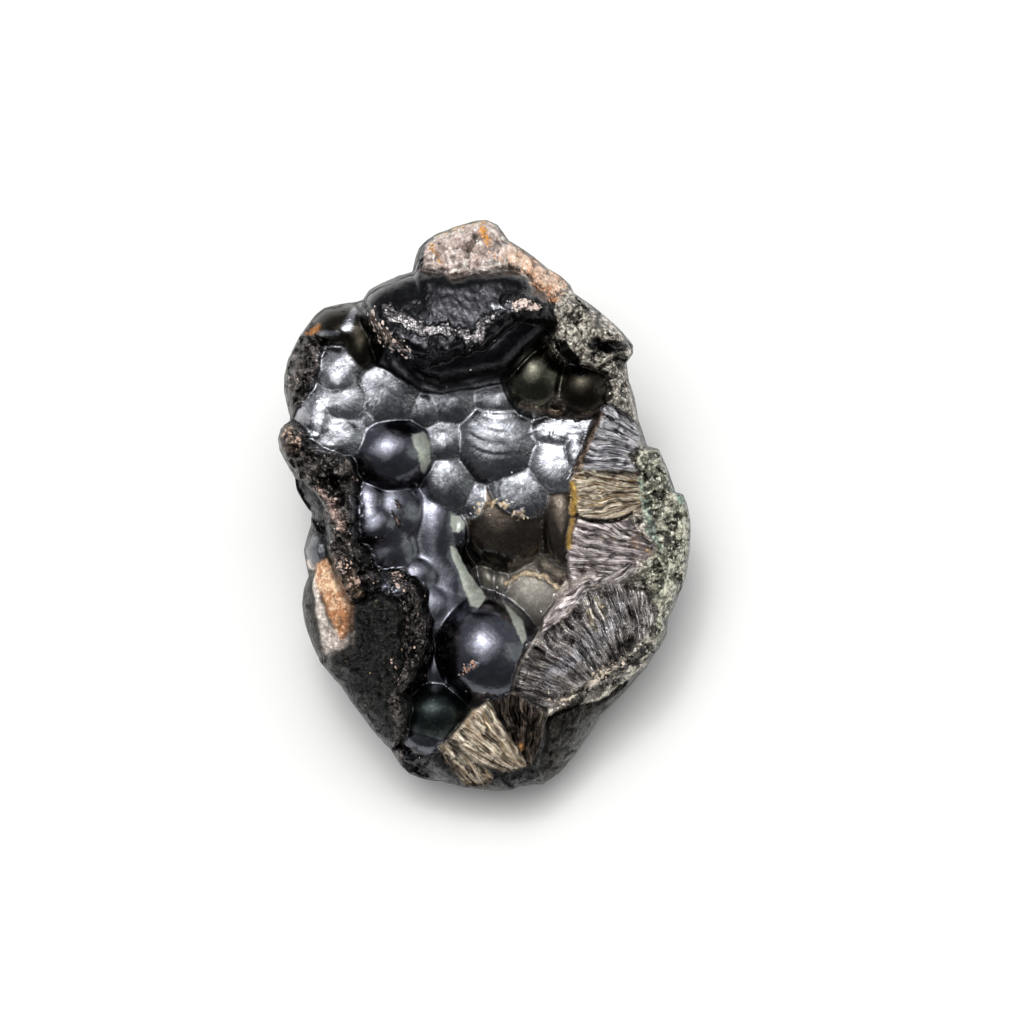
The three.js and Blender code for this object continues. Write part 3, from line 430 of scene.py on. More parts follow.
# %% Knobs, in the same form as domes
KNOBS = [
    ("glaze", -21, 45.2, 6.2, 4.1, -35, 13.5, 6, 0, -0.24),
    ("glaze", -12.7, 42.3, 6.2, 4.4, 0, 15.5, 6, 0, -0.24),
    ("glaze", -4.9, 44.2, 5.2, 4.1, 20, 15.8, 6, 0, -0.24),
    ("glaze", 9.8, 51.9, 7.3, 3.6, -5, 15, 6, 0, -0.24),
    ("ridge", -50.5, 17.5, 4.4, 5.2, 0, 5, 9, 0, 0),
    ("ridge", -45.6, -28.9, 5.2, 13, 0, -6, 12, 0, 0),
    ("ridge", -34.4, -19, 3.6, 4.1, 0, 5.2, 8, 0, 0),
]
for name, *knob in KNOBS:
    shapes.append((name, dome_height(wander_u, wander_v, knob) + rough_relief))
print("knobs:", len(KNOBS))

# %% Outlines of the slabs
SLABS = [
    # smooth wall under the ledge
    dict(zone="jet", level=9, rise=(0, 0), rim=8.8, fall=16, grain=0, outline=[
        (-31.6, 53.5), (-29.8, 56.3), (-25.9, 58.7), (-21.5, 60.7), (-16.8, 61.8), (-7.5, 59.4),
        (5.2, 61.5), (9.3, 60.5), (12.2, 58.4), (14.8, 55.3), (17.4, 51.9), (18.9, 48.3), (18.6, 44.4),
        (13.2, 40), (7, 33.5), (3.4, 32.2), (-11.7, 29.4), (-16.8, 30.7), (-20.7, 33), (-24.1, 36.1),
        (-29.8, 43.9), (-31.3, 48.8),
    ]),
    # top of the ledge, highest along its nose
    dict(zone="jet", level=28.3, rise=(0, -0.3), rim=3.9, fall=7, grain=0.15, outline=[
        (-31.3, 53.5), (-29.5, 56.3), (-25.6, 58.7), (-21.5, 60.7), (-16.8, 61.8), (-7.5, 59.4),
        (5.2, 61.5), (9.3, 60.5), (12.2, 58.4), (17.1, 51.9), (18.1, 48.3), (9.6, 48.6), (-0.8, 40),
        (-5.4, 39.8), (-9.6, 37.9), (-15.8, 37.7), (-24.3, 41.8), (-29.8, 49.3),
    ]),
    # peak
    dict(zone="peak", level=14.5, rise=(0, -0.12), rim=3.6, fall=8, grain=0.8, outline=[
        (-19.7, 59.7), (-17.9, 67.5), (-16.1, 70.1), (-13.2, 71.9), (-2.6, 75.8), (1.3, 76), (4.9, 73.4),
        (9.1, 67.5), (5.4, 60), (-7.8, 58.4), (-15.5, 59.7),
    ]),
    # earthy slope right of the peak
    dict(zone="earth", level=15.2, rise=(-0.3, -0.1), rim=2.6, fall=6, grain=0.8, outline=[
        (3.9, 69), (6.5, 70.6), (13.7, 65.9), (20.7, 61.3), (23.3, 58.7), (25.1, 55), (21.5, 51.9),
        (17.4, 53), (11.7, 58.7), (7.8, 60.7), (5.2, 63.3),
    ]),
    # granular crust, upper right
    dict(zone="crust", level=11.1, rise=(-0.28, 0.05), rim=2.3, fall=9, grain=1.2, outline=[
        (17.4, 47.8), (16.6, 53.5), (19.4, 55.6), (23.6, 57.1), (36.5, 46.7), (40.1, 42.6), (40.1, 40),
        (37.6, 37.4), (34.4, 38.5), (28.7, 35.6), (25.6, 36.4), (22.3, 37.9), (19.9, 40), (18.1, 43.6),
    ]),
    # lower step of that crust
    dict(zone="crust", level=7.6, rise=(-0.25, 0), rim=2.3, fall=7, grain=1.2, outline=[
        (26.2, 35.9), (34.4, 39.2), (38.1, 37.9), (38.6, 33.3), (41.4, 22.7), (38.6, 21.4), (30.3, 26.5),
        (31.6, 30.7), (31.1, 34.3),
    ]),
    # body under the pair of domes
    dict(zone="brown", level=-2, rise=(0, 0), rim=4.1, fall=8, grain=0, outline=[
        (5.4, 33), (9.1, 37.2), (11.7, 39), (15.5, 39.5), (20.2, 35.1), (23.6, 34.3), (27.2, 35.9),
        (30.8, 35.6), (32.1, 32.8), (31.6, 29.1), (29.3, 25.5), (25.1, 23.7), (19.9, 23.7), (10.9, 26.5),
        (7.8, 29.4),
    ]),
    # broken band along the right of the hollow
    dict(zone="crust", level=-2.5, rise=(-0.12, 0.02), rim=0.9, fall=6, grain=0.6, outline=[
        (30, 26), (33.9, 25.3), (38.6, 23.2), (41.4, 15.7), (41.4, 6.9), (42.7, -2.2), (45.3, -10),
        (44.3, -14.4), (42.2, -19), (47.4, -30.7), (46.4, -37.2), (41.4, -42.9), (35.5, -47.5),
        (29.8, -50.6), (23.3, -52.2), (15.5, -55), (9.6, -54.3), (6.7, -52.2), (6.5, -47.5), (8.3, -41.1),
        (10.4, -36.6), (13.5, -34.6), (17.6, -29.4), (19.4, -24.2), (22.3, -21.1), (21.2, -10.7),
        (23.8, -2.7), (22, 6.9),
    ]),
    # granular crust, right
    dict(zone="moss", level=4.7, rise=(-0.28, 0), rim=1.8, fall=5, grain=1.4, outline=[
        (38.1, 14.1), (41.4, 16.2), (46.1, 16.7), (50, 6.9), (53.1, 4.3), (54.9, -0.1), (55.4, -5.1),
        (54.1, -18.8), (49.2, -30.2), (48.7, -34.3), (42.2, -42.3), (40.1, -39.8), (44, -35.1),
        (43.3, -28.1), (41.2, -22.1), (40.1, -17), (42.2, -12.6), (42.7, -8.7), (40.1, -3.5), (39.9, 3),
        (38.6, 8.2),
    ]),
    # smooth lower right flank
    dict(zone="slick", level=15.1, rise=(-0.25, 0.35), rim=2.1, fall=6, grain=0.5, outline=[
        (45.3, -38.5), (31.3, -56.3), (20.2, -72.4), (15.8, -74.7), (11.7, -73.4), (12.2, -65.7),
        (16.3, -54.3), (29.8, -49.6), (35.5, -46.5),
    ]),
    # bottom end
    dict(zone="soot", level=4.5, rise=(-0.02, 0.18), rim=1, fall=5, grain=0.8, outline=[
        (-10.1, -60), (-3.9, -53.2), (3.9, -50.1), (15.5, -54.3), (15.8, -60.5), (14.2, -68.2),
        (16.3, -73.9), (1.3, -76.3), (-5.7, -75.2), (-16.3, -73.4), (-21, -71.9), (-23.6, -69),
        (-26.2, -64.4), (-22.5, -63.1), (-18.9, -64.9), (-14.2, -64.9),
    ]),
    # rough upper left flank
    dict(zone="ridge", level=14.2, rise=(0.35, 0), rim=1, fall=4, grain=1, outline=[
        (-43.3, 46.2), (-42.2, 41.8), (-42.7, 37.9), (-45.8, 28.9), (-50.5, 22.1), (-52.8, 26.3),
        (-54.1, 30.2), (-54.1, 34.3), (-53.1, 39), (-47.1, 48.8), (-44.8, 48.8),
    ]),
    # rough left ridge
    dict(zone="ridge", level=4.4, rise=(0, 0), rim=2.8, fall=9, grain=1.3, outline=[
        (-55.2, 17.7), (-54.4, 21.1), (-51.3, 23.2), (-47.9, 21.9), (-46.4, 18), (-43.3, 15.7),
        (-35, 12.6), (-33.7, 8.9), (-32.4, -10), (-29.8, -13.3), (-30.8, -18.5), (-32.4, -23.4),
        (-35, -25), (-37, -21.6), (-40.4, -12.6), (-42.2, -1.4), (-44.8, 2.2), (-50.5, 7.4),
        (-54.6, 14.6),
    ]),
    # its lower end, a thin rim around the dull hollow
    dict(zone="ridge", level=3.6, rise=(0, 0), rim=2.3, fall=8, grain=1.3, outline=[
        (-34.4, -15.4), (-31.1, -15.9), (-27.2, -17.7), (-22.5, -17.5), (-19.2, -19.6), (-16.6, -23.7),
        (-15.3, -29.4), (-15.3, -35.9), (-16.6, -41.3), (-21.2, -49.3), (-23.6, -47.5), (-22.8, -42.9),
        (-21.2, -39.2), (-21.8, -34.6), (-21, -29.4), (-23.1, -25), (-27.2, -22.7), (-34.4, -25),
    ]),
    # dull lower left flank
    dict(zone="soot", level=8.2, rise=(0.12, 0.1), rim=2.6, fall=6, grain=0.7, outline=[
        (-35, -25.3), (-27.2, -21.9), (-23.1, -23.7), (-20.2, -28.9), (-20.7, -34.6), (-20.2, -39.8),
        (-22, -44.9), (-19.2, -53.2), (-22, -60), (-25.6, -65.1), (-33.9, -55.8), (-39.1, -48),
        (-45.6, -40.8), (-35, -35.9), (-35.5, -30.7),
    ]),
    # outer left flank
    dict(zone="flank", level=8.2, rise=(0.3, 0), rim=0.8, fall=3, grain=0.3, outline=[
        (-50.5, 9.5), (-44.3, 3.2), (-41.2, -1.4), (-39.1, -11.8), (-36.3, -21.6), (-34.4, -25.8),
        (-34.4, -32.5), (-36, -37.2), (-41.4, -40.3), (-46.6, -38.5), (-49, -31), (-49.7, -25.8),
        (-49.2, -21.6), (-47.9, -18.3), (-49.2, -11.5), (-47.4, -4.8), (-47.4, -1.7), (-51.3, 4.5),
    ]),
]
print("slabs:", len(SLABS))

# %% Heights of the slabs
OUTER_SLOPE = 2.5


def slab_height(u, v, slab, distance):
    """A tilted plane, rounded down by a quarter circle over the rim and steep outside."""
    inward = np.clip(distance / slab["rim"], 0, 1)
    rounding = 1 - np.sqrt(1 - (1 - inward) ** 2)
    top = slab["level"] + slab["rise"][0] * u + slab["rise"][1] * v
    return top - slab["fall"] * rounding + OUTER_SLOPE * np.minimum(distance, 0)


for slab in SLABS:
    places = (wander_u, wander_v) if slab["grain"] else (face_u, face_v)
    height = slab_height(face_u, face_v, slab, inside_distance(*places, slab["outline"]))
    shapes.append((slab["zone"], height + slab["grain"] * rough_relief))
print("shapes:", len(shapes))

# %% [markdown]
# ## The highest shape wins
# Each shape names a zone, which later picks its finish. The shapes are joined by one more soft
# maximum, with the rings and wrinkles laid on the domes alone. The brown slab is a film under the
# pair of domes: it colours what lies there and adds no height.

# %% Zones and the joined relief
CREASE = 0.28
DOME_FINISHES = ["satin", "burnish", "gloss", "brown", "olive", "shade", "green", "dusty"]

ZONES = DOME_FINISHES + [
    "jet", "glaze", "peak", "earth", "crust", "moss", "ridge", "soot", "flank", "slick",
    "ochre", "chalk", "straw", "bronze", "silver", "fan", "coal",
]
top, face_zone = np.full(face_u.shape, LOW), np.zeros(face_u.shape, int)
for name, height in shapes:
    face_zone = np.where(height > top, ZONES.index(name), face_zone)
    top = np.maximum(top, height)
rough_shapes = [height for name, height in shapes if name not in DOME_FINISHES]
face_w = soft_maximum([height + smooth_relief for height in grown] + rough_shapes, CREASE)
print("heights in mm:", round(face_w.min(), 1), "to", round(face_w.max(), 1))

# %% [markdown]
# ## Broken faces
# Where the crust broke across, its fibres show as splinters that fan out from the point where
# they grew. Each break is a plane that replaces what lies under it. Its splinters and chips are
# worked out in polar places about the fan point, so that they run along the fibres.

# %% Outlines of the breaks
BREAKS = [
    # shiny crinkled break, top of the right band
    dict(zone="silver", level=3.4, rise=(-0.25, 0.05), fan=(55.7, 9.5), fibre=0.5, outline=[
        (30, 25.5), (32.9, 26.5), (37, 24.5), (40.4, 19.3), (40.1, 15.7), (37, 13.3), (40.1, 8.4),
        (23.3, 9.2),
    ]),
    # pale fibres above the crack
    dict(zone="straw", level=1, rise=(-0.22, 0.02), fan=(53.1, 3.8), fibre=0.32, outline=[
        (23.3, 9.5), (40.4, 9.2), (40.9, 1.7), (40.4, -1.9), (35, -2.7), (29.8, -3.5), (24.1, -2.7),
        (22, 6.9),
    ]),
    # brown fibres below the crack
    dict(zone="bronze", level=-1.6, rise=(-0.18, -0.05), fan=(60.9, -17.7), fibre=0.45, outline=[
        (23.8, -3), (29.8, -4), (38.1, -3.5), (40.4, -7.4), (44, -10), (43.5, -13.1), (39.4, -14.1),
        (36.3, -17), (22.3, -22.1), (21.2, -10.7),
    ]),
    # narrow brown break beside the lower domes
    dict(zone="bronze", level=-5.6, rise=(-0.1, -0.1), fan=(55.7, -3.5), fibre=0.35, outline=[
        (22, -21.6), (29.3, -19), (37, -14.6), (40.1, -15.4), (35.5, -20.3), (26.7, -22.7), (22.5, -27.3),
        (17.6, -31), (13.5, -34.8), (15.5, -29.4), (18.4, -25),
    ]),
    # shiny break, lower right
    dict(zone="fan", level=-1.5, rise=(-0.12, 0.05), fan=(45.3, -60.5), fibre=0.4, outline=[
        (26.7, -22.1), (32.9, -19.6), (41.4, -22.1), (45.3, -27.3), (41.2, -34.6), (32.9, -41.8),
        (27.7, -43.4), (19.9, -31), (22.5, -26.8),
    ]),
    # fan of fibres beside the largest dome
    dict(zone="fan", level=-6, rise=(0.1, 0.05), fan=(36.3, -53.2), fibre=0.3, outline=[
        (13.5, -34.6), (17.6, -30.7), (20.2, -31.5), (24.1, -37.7), (28.7, -43.4), (24.6, -47.5),
        (19.9, -50.1), (15.5, -53.5), (7.8, -52.2), (6.7, -47.5), (8.3, -41.1), (10.4, -36.6),
    ]),
    # pale fibres, bottom end
    dict(zone="straw", level=6.6, rise=(0.03, 0.2), fan=(16.3, -73.9), fibre=0.35, outline=[
        (-8.5, -60), (-4.4, -54.3), (0.5, -50.6), (3.6, -53.2), (6.5, -60), (10.9, -67.2), (6.5, -69.5),
        (1.3, -68), (-3.9, -65.1),
    ]),
    # lower facet of the pale fibres
    dict(zone="straw", level=7.8, rise=(0.05, 0.25), fan=(9.1, -83.8), fibre=0.4, outline=[
        (-12.2, -62.5), (-9.6, -60.7), (-0.8, -68), (1.8, -70.8), (0.3, -73.9), (-4.9, -73.2),
    ]),
    # dark column of fibres, bottom end
    dict(zone="coal", level=2.4, rise=(0.05, 0.15), fan=(10.9, -73.4), fibre=0.6, outline=[
        (0.5, -50.6), (7.3, -48), (15.8, -53.7), (14.8, -60.5), (12.2, -67.7), (9.6, -64.9),
    ]),
    # pale break on the peak
    dict(zone="peak", level=12.4, rise=(-0.05, -0.1), fan=(-4.9, 40.5), fibre=0.2, outline=[
        (-14, 65.9), (-12.7, 69), (-8.5, 71.1), (-2.6, 72.9), (2.1, 71.4), (4.1, 67.7), (3.9, 63.3),
        (0, 61.8), (-6.5, 60.7), (-13.5, 63.6),
    ]),
    # ochre break, left
    dict(zone="ochre", level=5.5, rise=(0.2, 0.05), fan=(-39.4, -101.9), fibre=0.15, outline=[
        (-40.9, -13.3), (-34.4, -25.8), (-35, -32.5), (-36.8, -34.8), (-39.4, -31.5), (-44, -19.6),
        (-43.8, -14.9),
    ]),
    # pale border of the ochre break
    dict(zone="chalk", level=7.5, rise=(0.2, 0.1), fan=(-39.4, -101.9), fibre=0.15, outline=[
        (-44, -17.7), (-42.7, -24.2), (-39.9, -31.5), (-36.8, -34.8), (-34.4, -32.5), (-35, -35.9),
        (-41.4, -39.2), (-42.7, -34.6), (-44.8, -21.6),
    ]),
    # smooth concave scar, outer left flank
    dict(zone="soot", level=4.6, rise=(0.3, 0.1), fan=(-39.4, -101.9), fibre=0, outline=[
        (-50, 7.9), (-47.4, 6.6), (-43.3, 3), (-41.4, -2.2), (-41.2, -7.4), (-43.3, -6.3), (-45.6, -3),
        (-48.7, 3.8),
    ]),
]
print("broken faces:", len(BREAKS))

# %% Splinters
SPLINTER_WIDTH, SPLINTER_LENGTH, SPLINTER_HEIGHT = 1.25, 9.0, 1.2
SHARD_WIDTH, SHARD_LENGTH, SHARD_HEIGHT = 3.4, 9.0, 3.0
BLADE_WIDTH, BLADE_LENGTH, BLADE_HEIGHT = 1.3, 4.5, 1.3
STRAND_WANDER, STRAND_WANDER_LENGTH = 1.6, 6


def strand_places(u, v, face):
    """Polar places about the fan point: arc length across the fibres and distance along them."""
    fu, fv = face["fan"]
    mu, mv = face["outline"][0]
    bearing = np.arctan2(v - fv, u - fu) - np.arctan2(mv - fv, mu - fu)
    x = 2 * np.arcsin(np.sin(bearing / 2)) * np.hypot(mu - fu, mv - fv)
    sway = fractal(u / STRAND_WANDER_LENGTH, v / STRAND_WANDER_LENGTH, 2.2, 3)
    return x + STRAND_WANDER * sway, np.hypot(u - fu, v - fv)


def splinters(x, y):
    """Long noise for the fibre bundles, plus long chips for shards and short ones for blades."""
    bundles = fractal(x / SPLINTER_WIDTH, y / SPLINTER_LENGTH, 3.3, 3)
    shards = chips(x / SHARD_WIDTH, y / SHARD_LENGTH, 26)
    blades = chips(x / BLADE_WIDTH, y / BLADE_LENGTH, 36)
    return SPLINTER_HEIGHT * bundles + SHARD_HEIGHT * shards + BLADE_HEIGHT * blades


print("sizes of a splinter in mm:", SPLINTER_WIDTH, "by", SPLINTER_LENGTH)

# %% Cutting the breaks
CUT_BLEND = 0.3
ROUGHNESS_OF_BREAKS = 0.35
WIDE_GAP = 9.0

cut = np.zeros(face_u.shape)
for face in BREAKS:
    share = smoothstep(-CUT_BLEND, CUT_BLEND, inside_distance(wander_u, wander_v, face["outline"]))
    x, y = strand_places(face_u, face_v, face)
    plane = face["level"] + face["rise"][0] * face_u + face["rise"][1] * face_v
    texture = face["fibre"] * splinters(x, y) + ROUGHNESS_OF_BREAKS * rough_relief
    face_w += (plane + texture - face_w) * share
    face_zone = np.where(share > 0.5, ZONES.index(face["zone"]), face_zone)
    across = np.where(share > 0.5, x, across)
    along = np.where(share > 0.5, y, along)
    cut = np.maximum(cut, share)
on_a_dome = face_zone < len(DOME_FINISHES)
face_gap = np.where(on_a_dome & (cut < 0.5), face_gap, WIDE_GAP)
print("share of the face that is broken across:", round((cut > 0.5).mean(), 2))

# %% [markdown]
# ## Crack, pits and shoulder
# The last cuts are an open crack between two bands of fibres, a few pits in the crusts, and the
# shoulder, where the face rounds over into the flanks.

# %% Last cuts
CRACK = [
    (23.8, -2.5), (27.2, -3.2), (31.1, -3.5), (35, -3), (38.3, -1.4), (38.3, -1.9), (35, -3.9),
    (31.1, -4.4), (27.2, -4.1),
]
CRACK_DEPTH = 4.0
# u, v, half length, half width, turn in degrees, depth
PITS = [
    (31.9, 41.6, 4.4, 1.9, -8, 3.5),
    (22, 39.2, 4.5, 1.5, -53, 2.5),
    (-38.1, 6.3, 3.4, 1.8, 10, 3.2),
    (35.5, -37.7, 5.5, 3, 48, 3.5),
    (34.4, -46.7, 3, 1.8, 35, 3),
    (42.4, 3.4, 3, 1.5, -70, 1.8),
    (47.4, -3.5, 2.5, 1.5, 20, 1.5),
    (-16.8, -68.3, 6, 3.2, -25, 3),
]
SHOULDER_DROP = 15.0
SHOULDER_POWER = 12

for *ellipse, depth in PITS:
    face_w -= depth * smoothstep(1.15, 0.25, ellipse_distance(wander_u, wander_v, *ellipse))
face_w -= CRACK_DEPTH * smoothstep(-0.4, 0.3, inside_distance(face_u, face_v, CRACK))
face_w -= SHOULDER_DROP * (1 - np.sqrt(np.clip(1 - face_edge**SHOULDER_POWER, 0, 1)))
print("pits:", len(PITS), "heights in mm:", round(face_w.min(), 1), "to", round(face_w.max(), 1))

# %% [markdown]
# ## The flanks
# Nothing holds the stone up, so below its face it needs a body to lie on. From the border of the
# face the flanks run down and in, in rings, by a quarter turn, and close in a flat patch. They
# are lumpy, with splintery columns where the fibres broke lengthways, and pitted near the heel.

# %% Shape of one ring
FLANK_TAPER = 0.12
HEEL_ROUNDING = 0.28
FLANK_LUMP, FLANK_LUMP_LENGTH = 7.0, 20.0
LUMP_CREASING = 1.7
FLANK_SMOOTHING = np.radians(50)
LARGEST_SPREAD = 1.05
COLUMN_DEPTH, COLUMN_WIDTH, COLUMN_LENGTH = 0.8, 3.5, 40.0
COLUMN_STEEPNESS = 4
RIB_DEPTH, RIB_WIDTH, RIB_LENGTH = 0.9, 1.7, 15.0
FLANK_PIT_DEPTH, FLANK_PIT_WIDTH, FLANK_PIT_LENGTH = 1.6, 3.0, 5.0


def resting_depth(v):
    """Depth of the flat patch under a place, measured square to the face."""
    return -(v * np.sin(RECLINE) + BODY_DEPTH) / np.cos(RECLINE)


def flank_fray(u, v, height, down):
    """Stepped columns and finer ribs, fading towards the heel, less the pits near it."""
    columns = noise(u / COLUMN_WIDTH, v / COLUMN_WIDTH, height / COLUMN_LENGTH)
    columns = np.tanh(COLUMN_STEEPNESS * columns)
    ribs = fractal(u / RIB_WIDTH, v / RIB_WIDTH, height / RIB_LENGTH, 2)
    pits = abs(fractal(u / FLANK_PIT_WIDTH, v / FLANK_PIT_WIDTH, height / FLANK_PIT_LENGTH, 2))
    bark = (COLUMN_DEPTH * columns + RIB_DEPTH * ribs) * smoothstep(0.95, 0.6, down)
    return bark - COLUMN_DEPTH - FLANK_PIT_DEPTH * pits * smoothstep(0.3, 0.8, down)


def flank_ring(u, v, w, share):
    """Down by a quarter turn's sine and in by its cosine, with creased lumps and the fray."""
    turn = share * np.pi / 2
    down, heel, swell = np.sin(turn), 1 - np.cos(turn), np.sin(2 * turn)
    angle = np.arctan2(v - CENTRE[1], u - CENTRE[0])
    rim = np.hypot(u - CENTRE[0], v - CENTRE[1])
    depth = w - resting_depth(v)
    height = w - depth * down
    lump = 1 - LUMP_CREASING * abs(fractal(*(x / FLANK_LUMP_LENGTH for x in (u, v, height)), 2))
    inward = depth * (FLANK_TAPER * down + HEEL_ROUNDING * heel)
    fan = [rim_reach(angle + t * FLANK_SMOOTHING) for t in np.linspace(-0.5, 0.5, 11)]
    smooth = np.minimum(sum(fan) / len(fan), rim * LARGEST_SPREAD)
    fray = swell**0.5 * flank_fray(u, v, height, down)
    reach = rim + (smooth - rim) * down - inward - FLANK_LUMP * lump * swell + fray
    fu, fv = CENTRE[0] + reach * np.cos(angle), CENTRE[1] + reach * np.sin(angle)
    return fu, fv, w + (resting_depth(fv) - w) * down


print("depth under the centre in mm:", round(resting_depth(CENTRE[1]), 1))

# %% [markdown]
# ## One closed surface
# The grid's cells are cut along the diagonal that bends less, which keeps the creases clean. Two
# steps halve the number of points in a ring, because the flanks need less detail than the face.
# The last ring closes on one point, so the surface has no open edge anywhere.

# %% Triangles of the face
index = np.arange(face_u.size).reshape(face_u.shape)
p, q, r, s = index[:-1, :-1], index[:-1, 1:], index[1:, 1:], index[1:, :-1]
rising = abs(face_w[:-1, :-1] - face_w[1:, 1:]) < abs(face_w[:-1, 1:] - face_w[1:, :-1])
one = np.where(rising[..., None], np.stack([p, q, r], -1), np.stack([p, q, s], -1))
two = np.where(rising[..., None], np.stack([p, r, s], -1), np.stack([q, r, s], -1))
triangles = [one.reshape(-1, 3), two.reshape(-1, 3)]
border = np.concatenate([index[0, :-1], index[:-1, -1], index[-1, :0:-1], index[:0:-1, 0]])
print("triangles of the face:", 2 * len(triangles[0]), "points on its border:", len(border))

# %% Rings of the flanks
UPPER_RINGS, LOWER_RINGS = 28, 14


def ring_strip(upper, lower):
    """Triangles from one closed ring of indices down to the next, which may have half as many."""
    if len(upper) == len(lower):
        p, q, a, b = upper, np.roll(upper, -1), lower, np.roll(lower, -1)
        return np.concatenate([np.stack([p, a, b], 1), np.stack([p, b, q], 1)])
    p, q, r = upper[0::2], upper[1::2], np.roll(upper[0::2], -1)
    a, b = lower, np.roll(lower, -1)
    return np.concatenate([np.stack(t, 1) for t in ([p, a, q], [q, a, b], [q, b, r])])


# sources are the points of the face that each point takes its finish from
points = [np.stack([face_u.ravel(), face_v.ravel(), face_w.ravel()], 1)]
sources, shares = [np.arange(index.size)], [np.zeros(index.size)]
rim_points = points[0][border]
first, upper = index.size, border
total_rings = UPPER_RINGS + LOWER_RINGS
for ring in range(1, total_rings + 1):
    step = 2 if ring <= UPPER_RINGS else 4
    points.append(np.stack(flank_ring(*rim_points[::step].T, ring / total_rings), 1))
    lower = first + np.arange(len(points[-1]))
    triangles.append(ring_strip(upper, lower))
    sources.append(border[::step])
    shares.append(np.full(len(lower), ring / total_rings))
    first, upper = first + len(lower), lower
points.append(np.array([[*CENTRE, resting_depth(CENTRE[1])]]))
sources.append(border[:1])
shares.append(np.ones(1))
triangles.append(np.stack([upper, np.full(len(upper), first), np.roll(upper, -1)], 1))
points, triangles = np.concatenate(points), np.concatenate(triangles)
sources, shares = np.concatenate(sources), np.concatenate(shares)
print("points:", len(points), "triangles:", len(triangles))

# %% [markdown]
# ## Into the world
# The face leans back, stands on its flat patch, and is fitted to the frame's own box, so the
# fine surface never leaves the solid that it stands for.

# %% Place the points
def lean_back(points):
    """Turns the face's u, v, w by the recline about the u axis."""
    u, v, w = points.T
    c, s = np.cos(RECLINE), np.sin(RECLINE)
    return np.stack([u, v * c - w * s, v * s + w * c + BODY_DEPTH], 1)


placed = lean_back(points)
own_low, own_high = placed.min(0), placed.max(0)
box_low, box_high = 1000 * np.array(cad_low), 1000 * np.array(cad_high)
fit = (box_high - box_low) / (own_high - own_low)


def to_world(points):
    """Metres in the frame's axes for points of the face drawing."""
    return (box_low + (lean_back(points) - own_low) * fit) / 1000


print("fitted to the frame by", np.round(fit, 4))

# %% [markdown]
# ## Finishes by zone
# One table gives each zone its look: a dark and a light colour that a fine pattern mixes, the
# colour of its specks, how metallic it is, its roughness, and how strong its grain, its fibre and
# its specks are. Fresh hematite reflects about a quarter of the light, evenly and a little blue,
# so its grown skins are shown as a polished metal with a dark grey base. Broken fibres have a
# silkier, paler look, partly metallic. Earthy limonite and clay scatter light and are not
# metallic at all.

# %% The finish table
def linear(code):
    """A hex colour such as #rrggbb turned from sRGB to linear by the standard curve."""
    s = np.array([int(code[i : i + 2], 16) for i in (1, 3, 5)]) / 255
    return np.where(s <= 0.04045, s / 12.92, ((s + 0.055) / 1.055) ** 2.4)


